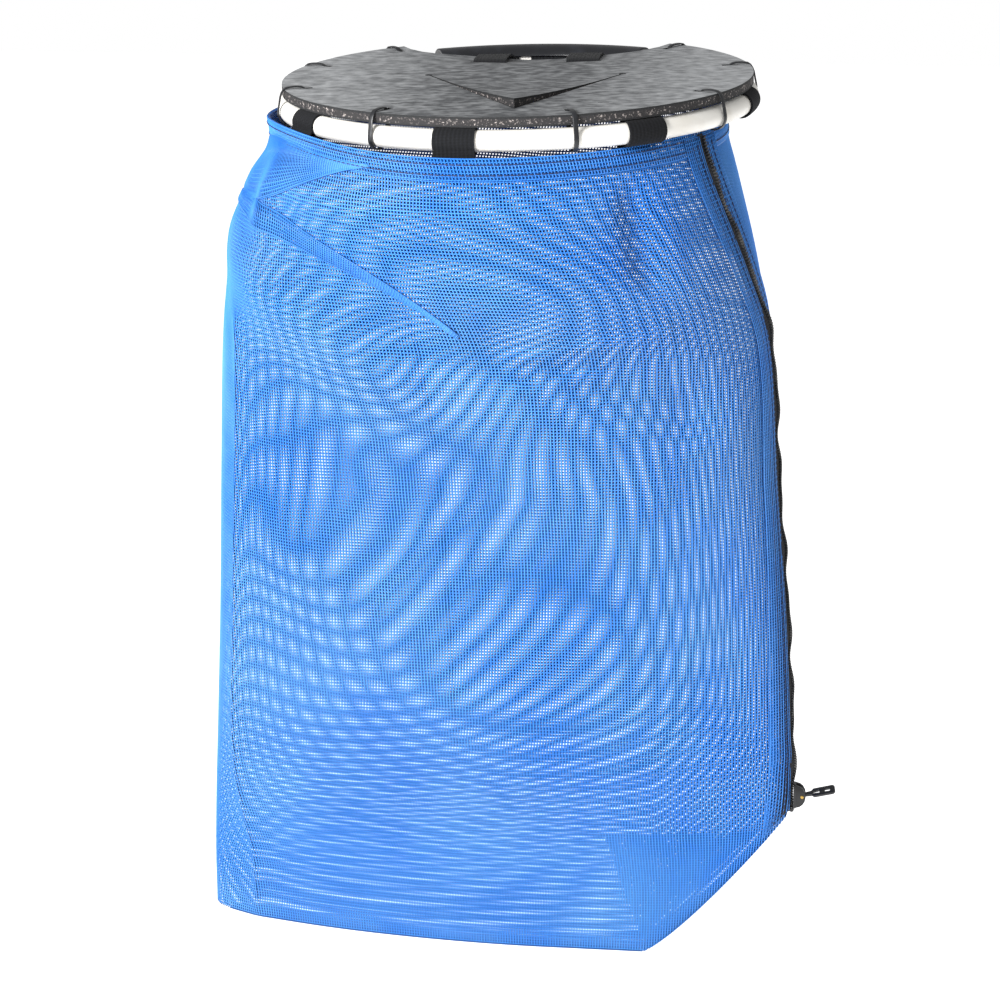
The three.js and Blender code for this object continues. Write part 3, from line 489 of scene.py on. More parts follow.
def takeAt(grid, rows, places):  # a grid's value between its points
    r = np.clip(np.floor(rows).astype(int), 0, grid.shape[0] - 2)
    c = np.clip(np.floor(places).astype(int), 0, grid.shape[1] - 2)
    a, b = (rows - r)[..., None], (places - c)[..., None]
    low = grid[r, c] * (1 - b) + grid[r, c + 1] * b
    high = grid[r + 1, c] * (1 - b) + grid[r + 1, c + 1] * b
    return low * (1 - a) + high * a


def strandFaces(count, stations):
    first = (np.arange(count) * stations * 4)[:, None, None, None]
    step = (np.arange(stations - 1) * 4)[None, :, None, None]
    side = np.arange(4)
    after = (side + 1) % 4
    quad = np.stack([side, after, after + 4, side + 4], axis=1)
    sides = (first + step + quad).reshape(-1, 4)
    ends = first[:, 0, 0]
    return np.concatenate([sides, ends + [3, 2, 1, 0], ends + (stations - 1) * 4 + np.arange(4)])


def allStrands(rows, places):  # warps and wefts over a whole grid
    return [(c, 0, rows - 1) for c in range(places)], [(r, 0, places - 1) for r in range(rows)]


def weave(name, grid, warps, wefts, size=weaveSize):
    # warps are rows of (column, first row, last row), wefts are rows of (row, first column, last column)
    across = unit(np.gradient(grid, axis=1))
    up = unit(np.gradient(grid, axis=0))
    out = unit(np.cross(up, across))
    spans = np.array(grid.shape[:2], float)
    points, faces, maps, start = [], [], [], 0
    for isWarp, strands in ((True, np.asarray(warps, float)), (False, np.asarray(wefts, float))):
        longest = (strands[:, 2] - strands[:, 1]).max() * size["pitch"]
        stations = max(2, int(math.ceil(longest / size["station"])) + 1)
        run = strands[:, 1:2] + (strands[:, 2:3] - strands[:, 1:2]) * np.linspace(0, 1, stations)
        fixed = np.repeat(strands[:, :1], stations, axis=1)
        rows, places = (run, fixed) if isWarp else (fixed, run)
        thick = unit(takeAt(out, rows, places))
        wide = unit(takeAt(across, rows, places)) if isWarp else -unit(takeAt(up, rows, places))
        centre = takeAt(grid, rows, places) + thick * (size["warpRise"] if isWarp else -size["warpRise"])
        wide, thick = wide * size["width"] / 2, thick * size["thickness"] / 2
        corners = [centre + wide, centre + thick, centre - wide, centre - thick]
        points.append(np.stack(corners, axis=2).reshape(-1, 3))
        spread = np.array([0.5, 0, -0.5, 0]) * size["width"] / size["pitch"]  # gives each side some room
        mapRows, mapPlaces = rows[..., None] + np.zeros(4), places[..., None] + np.zeros(4)
        if isWarp:
            mapPlaces = mapPlaces + spread
        else:
            mapRows = mapRows - spread
        both = [(mapPlaces + 1) / (spans[1] + 2), (mapRows + 1) / (spans[0] + 2)]
        maps.append(np.stack(both, axis=-1).reshape(-1, 2))
        faces.append(strandFaces(len(strands), stations) + start)
        start += len(points[-1])
    obj = meshFromArrays(name, np.concatenate(points), np.concatenate(faces), np.concatenate(maps))
    shades = np.array([0.2, 1.0, 0.2, 0.0], np.float32) * size["shade"]  # painted shade at a strand's right, outer, left and inner corner: lit outside, shaded at the edges and on the inner side
    outer = obj.data.attributes.new("paintedLightShare", "FLOAT", "POINT")
    outer.data.foreach_set("value", np.tile(shades, start // 4))
    return obj


# The bag's wall, in five panels

wallWeave = dict(columns=452, zipGap=4.4, sagLow=8, sagHigh=34, spareRows=14)
panels = [
    dict(name="front_right", start=0, end=113, station=9),
    dict(name="front_middle", start=113, end=160, station=5),
    dict(name="front_left", start=160, end=226, station=5),
    dict(name="back_left", start=226, end=339, station=12),
    dict(name="back_right", start=339, end=452, station=12),
]


def evenHeights(shares):  # heights that lie one pitch apart along the cloth, as a mean round the bag
    fine = np.linspace(wallSize["bottom"] + 0.5, wallSize["top"] - 0.5, 420)
    grid, foot = wallGrid(shares[::12], fine)
    steps = np.linalg.norm(np.diff(grid, axis=0), axis=2)
    seen = (fine[1:, None] > foot[None, :] + 2).astype(float)
    along = np.concatenate([[0], np.cumsum((steps * seen).sum(axis=1) / seen.sum(axis=1).clip(1))])
    count = int(along[-1] / weaveSize["rowPitch"])
    return np.interp((np.arange(count) + 0.5) * along[-1] / count, along, fine), along[-1]


def runs(margin, low, high):  # stretches where a margin is over 0, ended where it crosses 0
    over = np.flatnonzero(margin >= 0)
    found = []
    for group in np.split(over, np.flatnonzero(np.diff(over) > 1) + 1):
        if len(group) < 2:
            continue
        a, b = group[0], group[-1]
        first = low if a == 0 else max(low, a - margin[a] / (margin[a] - margin[a - 1]))
        last = high if b + 1 == len(margin) else min(high, b + margin[b] / (margin[b] - margin[b + 1]))
        if last - first > 1:
            found.append((first, last))
    return found


def buildWall():
    count = wallWeave["columns"]
    shares = (np.arange(-2, count + 2) + 0.5) / count  # two spare columns at each end
    heights, length = evenHeights(shares)
    above = np.arange(1, wallWeave["spareRows"] + 1)  # rows that sag down into the back
    heights = np.concatenate([heights, heights[-1] + weaveSize["rowPitch"] * above])
    t = np.clip((np.arange(len(shares)) - 1.5) * 2 / count - 1, 0, 1)
    rise = (heights[:, None] - wallSize["bottom"]) / (wallSize["top"] - wallSize["bottom"])
    sag = wallWeave["sagLow"] + (wallWeave["sagHigh"] - wallWeave["sagLow"]) * rise
    sagged = heights[:, None] - sag * 4 * t * (1 - t)
    grid, foot = wallGrid(shares, sagged)
    margin = np.minimum(sagged - foot, wallSize["top"] - sagged)
    around = np.array([levelOutline(min(z, wallSize["top"]))[2][-1] for z in heights])
    gap = wallWeave["zipGap"] / around * count
    for panel in panels:
        low, high = 1.5 + panel["start"], 1.5 + panel["end"]  # the panel's edges lie between two warps
        shift = int(low - 1.5)
        part = grid[:, shift:int(high + 2.5) + 1]
        warps = []
        for c in range(int(low + 0.5), int(high + 0.5)):
            if 1.5 + gap[-1] <= c <= count + 1.5 - gap[-1]:
                warps += [(c - shift, *ends) for ends in runs(margin[:, c], -0.3, len(heights))]
        wefts = []
        for r in range(len(heights)):
            for first, last in runs(margin[r], max(low, 1.5 + gap[r]), min(high, count + 1.5 - gap[r])):
                wefts.append((r, first - shift, last - shift))
        piece = weave("wall_" + panel["name"], part, warps, wefts, dict(weaveSize, station=panel["station"]))
        dress(piece, meshCloth, ["bag_body"])
        width = around.mean() * (panel["end"] - panel["start"]) / count
        flat = f"{width:.0f} x {length:.0f} mm flat"
        print("wall panel", panel["name"], len(piece.data.polygons), "faces,", flat)


def buildBottom():  # the fold that joins the front and the back, and runs up the folded corner
    fold = dict(rows=15, sag=0.6, sagDepth=20, inset=6, start=0.004, end=0.496)
    half = wallWeave["columns"] // 2
    shares = np.linspace(fold["start"], fold["end"], half)
    frontEdge = wallRow(wallSize["bottom"], shares=shares)
    backEdge = wallRow(wallSize["bottom"], shares=1 - shares)
    t = np.linspace(0, 1, fold["rows"])[:, None, None]
    grid = backEdge + (frontEdge - backEdge) * t
    depth = np.linalg.norm(backEdge - frontEdge, axis=1)
    sag = fold["sag"] * np.minimum(1, depth / fold["sagDepth"])
    grid[:, :, 2] -= np.sin(math.pi * t[:, :, 0]) * sag
    warps = [(c, 0, fold["rows"] - 1) for c in range(half)]
    wefts = [(r, fold["inset"], half - 1 - fold["inset"]) for r in range(fold["rows"])]
    piece = weave("bottom_fold", grid, warps, wefts)
    dress(piece, meshCloth, ["bag_body"])
    print("bottom fold", len(piece.data.polygons), "faces")


def buildEar():  # the folded-in corner: a doubled triangle of mesh behind the front
    # painted shade: shade 0.5 darkens the ear's strands, which lie behind the front
    ear = dict(foot=(107, -19.7, -79), right=(196, -20.3, 22), left=(76, -38.6, 21), shade=0.5,
               layers=[dict(turn=4, lift=0.5), dict(turn=49, lift=-0.5)])
    corners = np.array([ear["foot"], ear["right"], ear["left"]], float)
    corners[:, 2] -= ringSize["centreZ"]
    normal = unit(np.cross(corners[1] - corners[0], corners[2] - corners[0]))
    pitch = weaveSize["pitch"]
    parts = []
    for layer in ear["layers"]:
        turn = math.radians(layer["turn"])
        across = np.array([math.cos(turn), 0, math.sin(turn)])
        across = unit(across - normal * across.dot(normal))
        up = np.cross(across, normal)
        flat = np.stack([(corners - corners[0]) @ across, (corners - corners[0]) @ up], axis=-1)
        low, high = flat.min(axis=0), flat.max(axis=0)
        acrossAt, upAt = np.arange(low[0], high[0], pitch), np.arange(low[1], high[1], pitch)
        grid = corners[0] + normal * layer["lift"]
        grid = grid + acrossAt[None, :, None] * across + upAt[:, None, None] * up

        def spans(axis, places):  # where lines across the triangle enter and leave it
            found = []
            for k, place in enumerate(places):
                cuts = []
                for a, b in zip(flat, np.roll(flat, -1, axis=0)):
                    if (a[axis] - place) * (b[axis] - place) < 0:
                        share = (place - a[axis]) / (b[axis] - a[axis])
                        cuts.append((a + share * (b - a) - low)[1 - axis] / pitch)
                if len(cuts) == 2 and abs(cuts[0] - cuts[1]) > 1:
                    found.append((k, min(cuts), max(cuts)))
            return found

        size = dict(weaveSize, shade=ear["shade"])
        parts.append(weave("ear", grid, spans(0, acrossAt), spans(1, upAt), size))
    piece = joinPieces("corner_doubling", parts)
    dress(piece, meshCloth, ["corner_fold"])
    print("folded corner", len(piece.data.polygons), "faces")


def buildTucks():  # below the left of the hem the cloth is tucked and lies double
    tucks = [
        dict(name="shoulder_tuck", start=(0.222, 466), bend=(0.2825, 553), end=(0.44, 545),
             narrow=2, wide=9, rows=8),
        dict(name="hem_tuck", start=(0.25, 592), bend=(0.33, 578), end=(0.45, 558),
             narrow=1, wide=20, rows=16),
    ]
    layers = [dict(out=1.2, phase=0), dict(out=2.0, phase=0.5)]
    # painted shade: the tucks' strands are a little darker than the wall (shade 0.85)
    size = dict(weaveSize, shade=0.85)
    level = 520  # shares are turned into distances here
    around = levelOutline(level)[2][-1]
    for tuck in tucks:
        a, b, c = (np.array(tuck[key]) * (around, 1) for key in ("start", "bend", "end"))
        count = int((np.linalg.norm(b - a) + np.linalg.norm(c - b)) / weaveSize["pitch"])
        parts = []
        for layer in layers:
            phase = layer["phase"]
            grid = np.empty((tuck["rows"], count, 3))
            for k in range(count):
                t = (k + phase) / count
                run = unit((b - a) * (1 - t) + (c - b) * t)
                swell = smoothStep(t, 0, 0.7) * (1 - smoothStep(t, 0.75, 1))
                half = tuck["narrow"] + (tuck["wide"] - tuck["narrow"]) * swell
                for r in range(tuck["rows"]):
                    away = (2 * (r + phase * 0.8) / (tuck["rows"] - 1) - 1) * half
                    middle = a * (1 - t) ** 2 + b * 2 * t * (1 - t) + c * t ** 2
                    place = middle + np.array([-run[1], run[0]]) * away
                    grid[r, k] = wallRow(place[1], shares=np.array([place[0] / around]), out=layer["out"])[0]
            parts.append(weave("tuck", grid, *allStrands(tuck["rows"], count), size))
        dress(joinPieces(tuck["name"], parts), meshCloth, ["bag_body"])


buildWall()
buildBottom()
buildEar()
buildTucks()


# Swept and scattered pieces

def tubeArrays(sections, closed=False):  # quads through sections with the same number of points
    stations, count = sections.shape[:2]
    side = np.arange(count)
    after = (side + 1) % count
    rows = np.arange(stations if closed else stations - 1)[:, None]
    ahead = (rows + 1) % stations
    corners = [rows * count + side, rows * count + after, ahead * count + after, ahead * count + side]
    faces = np.stack(corners, axis=-1).reshape(-1, 4)
    if not closed:
        pair = np.arange(count // 2 - 1)
        cap = np.stack([pair, pair + 1, count - 2 - pair, count - 1 - pair], axis=-1)
        faces = np.concatenate([faces, cap[:, ::-1], cap + (stations - 1) * count])
    return sections.reshape(-1, 3), faces


def roundedBlock(along, across, out, inset):  # a block with chamfered edges, centred, its length along x
    half, rise = across / 2, out / 2
    stations = []
    end = along / 2
    for place, shrink in ((-end, inset), (inset - end, 0), (end - inset, 0), (end, inset)):
        a, b = half - shrink, rise - shrink
        flat = [(-a, inset - b), (inset - a, -b), (a - inset, -b), (a, inset - b)]
        flat += [(a, b - inset), (a - inset, b), (inset - a, b), (-a, b - inset)]
        stations.append([(place, y, z) for y, z in flat])
    return tubeArrays(np.array(stations))


def scatter(name, template, centres, along, out):  # copies of a template at places with their own axes
    points, faces = template
    out = unit(out - along * (out * along).sum(axis=-1, keepdims=True))
    across = np.cross(out, along)
    axes = np.stack([along, across, out], axis=1)
    placed = centres[:, None] + np.einsum("tk,nkd->ntd", points, axes)
    moved = faces[None] + (np.arange(len(centres)) * len(points))[:, None, None]
    return meshFromArrays(name, placed.reshape(-1, 3), moved.reshape(-1, 4))


def cutCorners(path, times=1):  # rounds a closed path
    for _ in range(times):
        after = np.roll(path, -1, axis=0)
        pairs = np.stack([0.75 * path + 0.25 * after, 0.25 * path + 0.75 * after], axis=1)
        path = pairs.reshape(-1, path.shape[1])
    return path


ribRise = 0.22


def band(name, pathAt, place, width, thickness, ribs, across, rounding=0.0):
    # a closed flat band: pathAt gives its path for a place across (-1 to 1), place sets that path in space
    outer, inner = [], []
    steps = np.linspace(-1, 1, across)
    for u in steps:
        path = pathAt(u)
        run = unit(np.roll(path, -1, axis=0) - np.roll(path, 1, axis=0))
        normal = np.stack([run[:, 1], -run[:, 0]], axis=-1)
        turned = (path[:, 0] * np.roll(path[:, 1], -1) - np.roll(path[:, 0], -1) * path[:, 1]).sum()
        normal *= math.copysign(1, turned)
        half = thickness / 2 * (1 - rounding * abs(u) ** 6)
        rise = ribRise * abs(math.sin(math.pi * ribs * (u + 1) / 2)) if ribs else 0
        outer.append(place(u, path + normal * (half + rise)))
        inner.append(place(u, path - normal * half))
    sections = np.concatenate([np.stack(outer, axis=1), np.stack(inner[::-1], axis=1)], axis=1)
    points, faces = tubeArrays(sections, closed=True)
    count = sections.shape[1]
    middle = sections[:, across // 2]
    length = np.concatenate([[0], np.cumsum(np.linalg.norm(np.roll(middle, -1, axis=0) - middle, axis=1))])
    row, column = faces // count, faces % count
    wraps = (row == 0) & (row.max(axis=1, keepdims=True) == len(sections) - 1)
    crossMap = np.concatenate([steps, steps[::-1]])[column] * width / 2
    uv = np.stack([crossMap, np.where(wraps, length[-1], length[row])], axis=-1).reshape(-1, 2) * mm
    return meshFromArrays(name, points, faces, uv, "Ribbon")


# The zip: tape, facings, teeth, stitches, slider and pull

zipSize = dict(start=600, end=40, tapeHalf=12, tapeOut=0.6, tapeThick=0.8, ridge=3.2, ridgeHalf=4.5,
               facingFrom=3, facingTo=25, facingOut=2.2, toothPitch=2.2, toothSide=0.8, toothOut=4.6,
               stop=(41.0, 41.5), stopOut=4.2)
stitchSize = dict(length=4.1, width=1.1, height=0.7, step=4.5, hemLevels=(590.5, 598), hemOut=2.35,
                  zipLines=(4.6, 8.2, 15, -4.6, -8.2, -15), zipOut=0.65)
hemSize = dict(low=587, high=603.5, out=1.4)
buckles = [dict(height=0.9, length=10, shift=0), dict(height=0.6, length=6, shift=1)]


def zipWave(z):  # the tape is longer than the cloth, and buckles
    return sum(wave["height"] * math.sin(z / wave["length"] + wave["shift"]) for wave in buckles)


def zipRows(heights, places, out, wave=0):
    return np.stack([wallRow(zipLevel(z), distance=places, out=out + wave * zipWave(z)) for z in heights])


def seam(heights, place, out, wave=0):  # centres and axes of the stitches on a line along the zip
    line = zipRows(heights, [place], out, wave)[:, 0]
    proud = unit(zipRows(heights, [place], out + 1, wave)[:, 0] - line)
    return line, unit(np.gradient(line, axis=0)), proud


def buildZip():
    size = zipSize
    heights = np.arange(size["end"], size["start"] + 0.1, 5)
    places = np.linspace(-size["tapeHalf"], size["tapeHalf"], 17)
    crest = np.clip(1 - np.abs(places) / size["ridgeHalf"], 0, 1)
    outer = zipRows(heights, places, size["tapeOut"] + size["tapeThick"] + crest * size["ridge"], crest)
    inner = zipRows(heights, places[::-1], size["tapeOut"])
    points, faces = tubeArrays(np.concatenate([outer, inner], axis=1))
    across = np.concatenate([places, places[::-1]])
    uv = np.stack(np.broadcast_arrays(across[None, :], heights[:, None]), axis=-1).reshape(-1, 2) * mm
    tape = meshFromArrays("zip_tape_cloth", points, faces, uv, "Ribbon")
    finishFaces(tape)
    dress(tape, tapeBlack, ["zip_tape"])

    pitch = weaveSize["pitch"]
    rows = np.arange(size["end"] + 1, size["start"], pitch)
    for side, name in ((1, "front"), (-1, "back")):
        places = np.sort(side * np.arange(size["facingFrom"], size["facingTo"], pitch))
        grid = zipRows(rows, places, size["facingOut"])
        facing = weave("facing_" + name, grid, *allStrands(len(rows), len(places)))
        dress(facing, meshCloth, ["zip_facing_" + name])

    pitch = size["toothPitch"]
    lines = []
    for side in (1, -1):
        heights = np.arange(size["end"] + 4 + (side + 1) * pitch / 4, size["start"] - 1, pitch)
        lines.append(seam(heights, side * size["toothSide"], size["toothOut"], 1))
    places = [np.concatenate(part) for part in zip(*lines)]
    teeth = scatter("zip_teeth_rows", roundedBlock(1.5, 2.4, 2, 0.35), *places)
    outwardFaces(teeth)
    stop = scatter("stop", roundedBlock(4, 7, 3, 0.6), *seam(np.array(size["stop"]), 0, size["stopOut"]))
    dress(joinPieces("zip_teeth_rows", [teeth, stop]), toothAcetal, ["zip_teeth"])
    print("zip teeth", len(places[0]))


def buildStitches():
    size = stitchSize
    ends = np.linspace(-0.5, 0.5, 5) * size["length"]
    turn = np.radians(np.arange(6) * 60)
    stations = []
    for x, swell in zip(ends, (0.25, 0.85, 1, 0.85, 0.25)):
        across = np.cos(turn) * size["width"] / 2 * swell
        rise = np.sin(turn) * size["height"] / 2 * swell
        stations.append(np.stack([np.full(6, x), across, rise], axis=-1))
    template = tubeArrays(np.array(stations))
    lines = []
    for z in size["hemLevels"]:
        around = levelOutline(z)[2][-1]
        distance = np.arange(0, around - size["step"] / 2, size["step"])
        line = wallRow(z, distance=distance, out=size["hemOut"])
        proud = unit(wallRow(z, distance=distance, out=size["hemOut"] + 1) - line)
        along = unit(np.roll(line, -1, axis=0) - np.roll(line, 1, axis=0))
        lines.append((line, along, proud))
    heights = np.arange(zipSize["end"] + 3, zipSize["start"] - 4, size["step"])
    for place in size["zipLines"]:
        lines.append(seam(heights, place, zipSize["facingOut"] + size["zipOut"]))
    stitches = scatter("stitches", template, *(np.concatenate(part) for part in zip(*lines)))
    finishFaces(stitches, 60)
    dress(stitches, thread)
    print("stitches", len(stitches.data.polygons) // len(template[1]))


def buildHem():  # the mesh folded over and sewn
    count = wallWeave["columns"]
    shares = np.arange(count + 1) / count
    heights = np.arange(hemSize["low"], hemSize["high"], weaveSize["pitch"])
    grid = np.stack([wallRow(z, shares=shares, out=hemSize["out"]) for z in heights])
    warps = [(c, 0, len(heights) - 1) for c in range(count)]
    wefts = [(r, 0, count) for r in range(len(heights))]
    piece = weave("hem_band", grid, warps, wefts)
    dress(piece, meshCloth, ["hem"])
    print("hem", len(piece.data.polygons), "faces")


def refine(name, node, bevel):  # a copy of a solid with its edges broken
    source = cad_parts[node]
    mesh = source.data.copy()
    mesh.transform(source.matrix_world)
    obj = addObject(name, mesh)
    editWhole(obj)
    bpy.ops.mesh.remove_doubles(threshold=0.02 * mm)
    bpy.ops.mesh.dissolve_limited(angle_limit=math.radians(3))
    clearSelection()
    breakEdges(obj, bevel, 2, 38)
    smoothByAngle(obj)
    return obj


def twistPull(pull, hinge):  # the loose tab is rolled a little towards the front, from its neck on
    roll = dict(rise=14, angle=22, near=3 * mm, far=11 * mm)
    along = np.array([math.cos(math.radians(roll["rise"])), 0, math.sin(math.radians(roll["rise"]))])
    points = np.empty(len(pull.data.vertices) * 3)
    pull.data.vertices.foreach_get("co", points)
    points = points.reshape(-1, 3) - hinge
    reach = points @ along
    turn = np.radians(roll["angle"]) * smoothStep(reach, roll["near"], roll["far"])[:, None]
    middle = reach[:, None] * along
    side = points - middle
    points = middle + side * np.cos(turn) + np.cross(along, side) * np.sin(turn) + hinge
    pull.data.vertices.foreach_set("co", points.astype(np.float32).ravel())
    pull.data.update()


def buildSlider():
    slider = refine("slider_body", "zip_slider", 0.5)
    hinge = dict(x=234.05, y=-12.71, z=-561.5, cheek=4.6, radius=1.4, head=1.2)
    clearSelection()
    bpy.ops.mesh.primitive_cylinder_add(
        vertices=24, radius=hinge["radius"] * mm, depth=hinge["head"] * mm, rotation=(math.pi / 2, 0, 0),
        location=(hinge["x"] * mm, (hinge["y"] - hinge["cheek"]) * mm, hinge["z"] * mm))
    pin = namePiece("slider_pin")
    applyPlace(pin)
    breakEdges(pin, 0.3, 2, 40)
    smoothByAngle(pin)
    dress(slider, zipAcetal, ["zip_slider"])
    dress(pin, brass)
    pull = refine("pull_tab", "zip_pull", 0.4)
    twistPull(pull, np.array([hinge["x"], hinge["y"], hinge["z"]]) * mm)
    dress(pull, zipAcetal, ["zip_pull"], "zip_pull")


buildZip()
buildStitches()
buildHem()
buildSlider()
print("zip done")


# The ring and what is lashed to it, in the ring's own plane

mouthTurn = Vector((0, 0, 1)).rotation_difference(Vector((-ringSize["riseRight"], -ringSize["riseBack"], 1)))
mouthMatrix = mouthTurn.to_matrix().to_4x4()
mouthArray = np.array(mouthTurn.to_matrix())
lidSize = dict(radius=181, thickness=7.6, lift=10.2, grid=76, tieSlit=162.4)
tieAngles = (-138.5, -107, -71, -29, 19, 61, 103, 138.5)
strapPlaces = (-30, 44)
slotY = 71  # where the straps pass through the lid
lidWarps = [
    dict(x=5, y=113, height=-7, spreadX=66, spreadY=42),  # sag at the hand cut-out
    dict(x=124, y=134, height=0.5, spreadX=45, spreadY=45),  # curl behind on the right
]
cutSize = dict(tie=(6, 4.8), strap=(30, 4.5), side=(8, 1.4))  # length and width
flapSize = dict(left=(-69, 2), tip=(13, -145), right=(81, 0), slit=1.6, hole=3, raised=7)


def heading(angle):  # 0 is the front, positive towards the zip side
    turn = np.radians(angle)
    return np.stack([np.sin(turn), -np.cos(turn)], axis=-1)


def onRing(angle, flat, sideways=0.0):  # flat is reach from the tube's centre and height
    out = heading(angle)
    along = np.array([-out[1], out[0]])
    level = out * (ringSize["radius"] + flat[:, :1]) + along * sideways
    return np.column_stack([level, flat[:, 1]]) @ mouthArray.T


def lidWarp(x, y):
    total = 0 * x
    for warp in lidWarps:
        away = ((x - warp["x"]) / warp["spreadX"]) ** 2 + ((y - warp["y"]) / warp["spreadY"]) ** 2
        total = total + warp["height"] * np.exp(-away)
    return total


def mouthReach(angle, sideways):
    top = sectionAt(wallSize["top"])
    half = np.array([(top["right"] - top["left"]) / 2, (top["back"] - top["front"]) / 2])
    out = heading(angle)
    start = np.array([-out[1], out[0]]) * sideways - (top["midX"], top["rightY"])
    a, b, c = ((out / half) ** 2).sum(), (start * out / half ** 2).sum(), ((start / half) ** 2).sum() - 1
    return (-b + math.sqrt(b * b - a * c)) / a


def buildRing():
    clearSelection()
    bpy.ops.mesh.primitive_torus_add(
        major_radius=ringSize["radius"] * mm, minor_radius=ringSize["tube"] * mm,
        major_segments=180, minor_segments=28)
    ring = namePiece("ring_tube")
    ring.data.transform(mouthMatrix)
    smoothByAngle(ring, 60)
    dress(ring, tubeWhite, ["ring"])


def buildLoops():
    size = dict(width=30, thickness=1.1, clearance=0.8, layerGap=0.15, hemClearance=1.2, wall=1.2,
                throat=0.3, turns=30, neckRise=3, tailLength=13, hemTop=-12.5)
    angles = (-53.5, -8.5, 36.5, 81.5, 126.5, 177.5, 236.5, 261.5)
    half = size["thickness"] / 2
    radius, layer = ringSize["tube"] + size["clearance"] + half, half + size["layerGap"]
    span = math.degrees(size["width"] / 2 / ringSize["radius"])
    for k, angle in enumerate(angles):
        reach = min(mouthReach(angle, side) for side in (-size["width"] / 2, 0, size["width"] / 2))
        tailX = reach - size["wall"] - size["hemClearance"] - 2 * layer - ringSize["radius"]
        tailTop = np.array([tailX, size["hemTop"] + size["neckRise"]])
        neck = math.atan2(tailTop[1], tailTop[0])
        sweep = 2 * math.pi - 2 * size["throat"]
        turn = neck + size["throat"] + sweep * np.linspace(0, 1, size["turns"] + 1)
        side = np.array([-math.sin(neck), math.cos(neck)]) * layer
        low = size["hemTop"] - size["tailLength"]
        tail = [tailTop - side, (tailX - layer, low), (tailX + layer, low), tailTop + side]
        path = np.concatenate([np.stack([np.cos(turn), np.sin(turn)], axis=-1) * radius, tail])
        path = cutCorners(np.roll(path, 3, axis=0))  # starts at the hidden tail
        loop = band(f"elastic_loop_{k + 1}", lambda u: path, lambda u, flat: onRing(angle + span * u, flat),
                    size["width"], size["thickness"], ribs=10, across=41)
        finishFaces(loop, 60)
        dress(loop, elastic, [f"webbing_loop_{k + 1}"])
    print("loops", len(angles))


def buildTies():
    size = dict(width=3.6, thickness=1.2, clearance=1.1, slitRadius=164, edgeReach=2.4, edgeRise=0.4,
                bow=2.2, bowReach=-3, slitRise=0.8, slitDrop=3, innerZ=-2, headReach=2.3, headZ=-1)
    slitX, edgeX = size["slitRadius"] - ringSize["radius"], lidSize["radius"] - ringSize["radius"]
    around = ringSize["tube"] + size["clearance"] + size["thickness"] / 2
    block = roundedBlock(5.4, 4.6, 4, 0.7)
    for k, angle in enumerate(tieAngles):
        ends = np.stack([heading(angle) * reach for reach in (size["slitRadius"], lidSize["radius"])])
        top = lidSize["lift"] + lidSize["thickness"] + lidWarp(ends[:, 0], ends[:, 1]).max()
        turn = np.radians(np.arange(215, 376, 10))
        path = np.concatenate([
            [(slitX, lidSize["lift"] - size["slitDrop"]), (-around * 0.95, size["innerZ"])],
            np.stack([np.cos(turn), np.sin(turn)], axis=-1) * around,
            [(edgeX + size["edgeReach"], top + size["edgeRise"]), (size["bowReach"], top + size["bow"]),
             (slitX, top + size["slitRise"])]])
        path = cutCorners(path, 2)
        strip = band("strip", lambda u: path, lambda u, flat: onRing(angle, flat, u * size["width"] / 2),
                     size["width"], size["thickness"], ribs=0, across=9, rounding=0.5)
        out = np.array([*heading(angle), 0]) @ mouthArray.T
        middle = onRing(angle, np.array([[-around - size["headReach"], size["headZ"]]]))
        head = scatter("head", block, middle, np.cross(mouthArray[:, 2], out)[None], mouthArray[None, :, 2])
        tie = joinPieces(f"tie_{k + 1}", [strip, head])
        finishFaces(tie)
        dress(tie, tieNylon, [f"cable_tie_{k + 1}"])
    print("ties", len(tieAngles))


def prisms(name, outlines, low, high):  # upright blocks over flat outlines, in one mesh
    points, faces = [], []
    for outline in outlines:
        start, count = len(points), len(outline)
        points += [(x * mm, y * mm, z * mm) for z in (low, high) for x, y in outline]
        faces.append([start + i for i in reversed(range(count))])
        faces.append([start + count + i for i in range(count)])
        for i in range(count):
            j = (i + 1) % count
            faces.append([start + i, start + j, start + count + j, start + count + i])
    mesh = bpy.data.meshes.new(name)
    mesh.from_pydata(points, [], faces)
    obj = addObject(name, mesh)
    outwardFaces(obj)
    return obj


def boxOutline(middle, along, length, width):  # a rectangle about a point, its length along a direction
    middle, along = np.asarray(middle, float), unit(np.asarray(along, float))
    across = np.array([-along[1], along[0]])
    ends = ((1, 1), (-1, 1), (-1, -1), (1, -1))
    return [tuple(middle + along * a * length / 2 + across * b * width / 2) for a, b in ends]


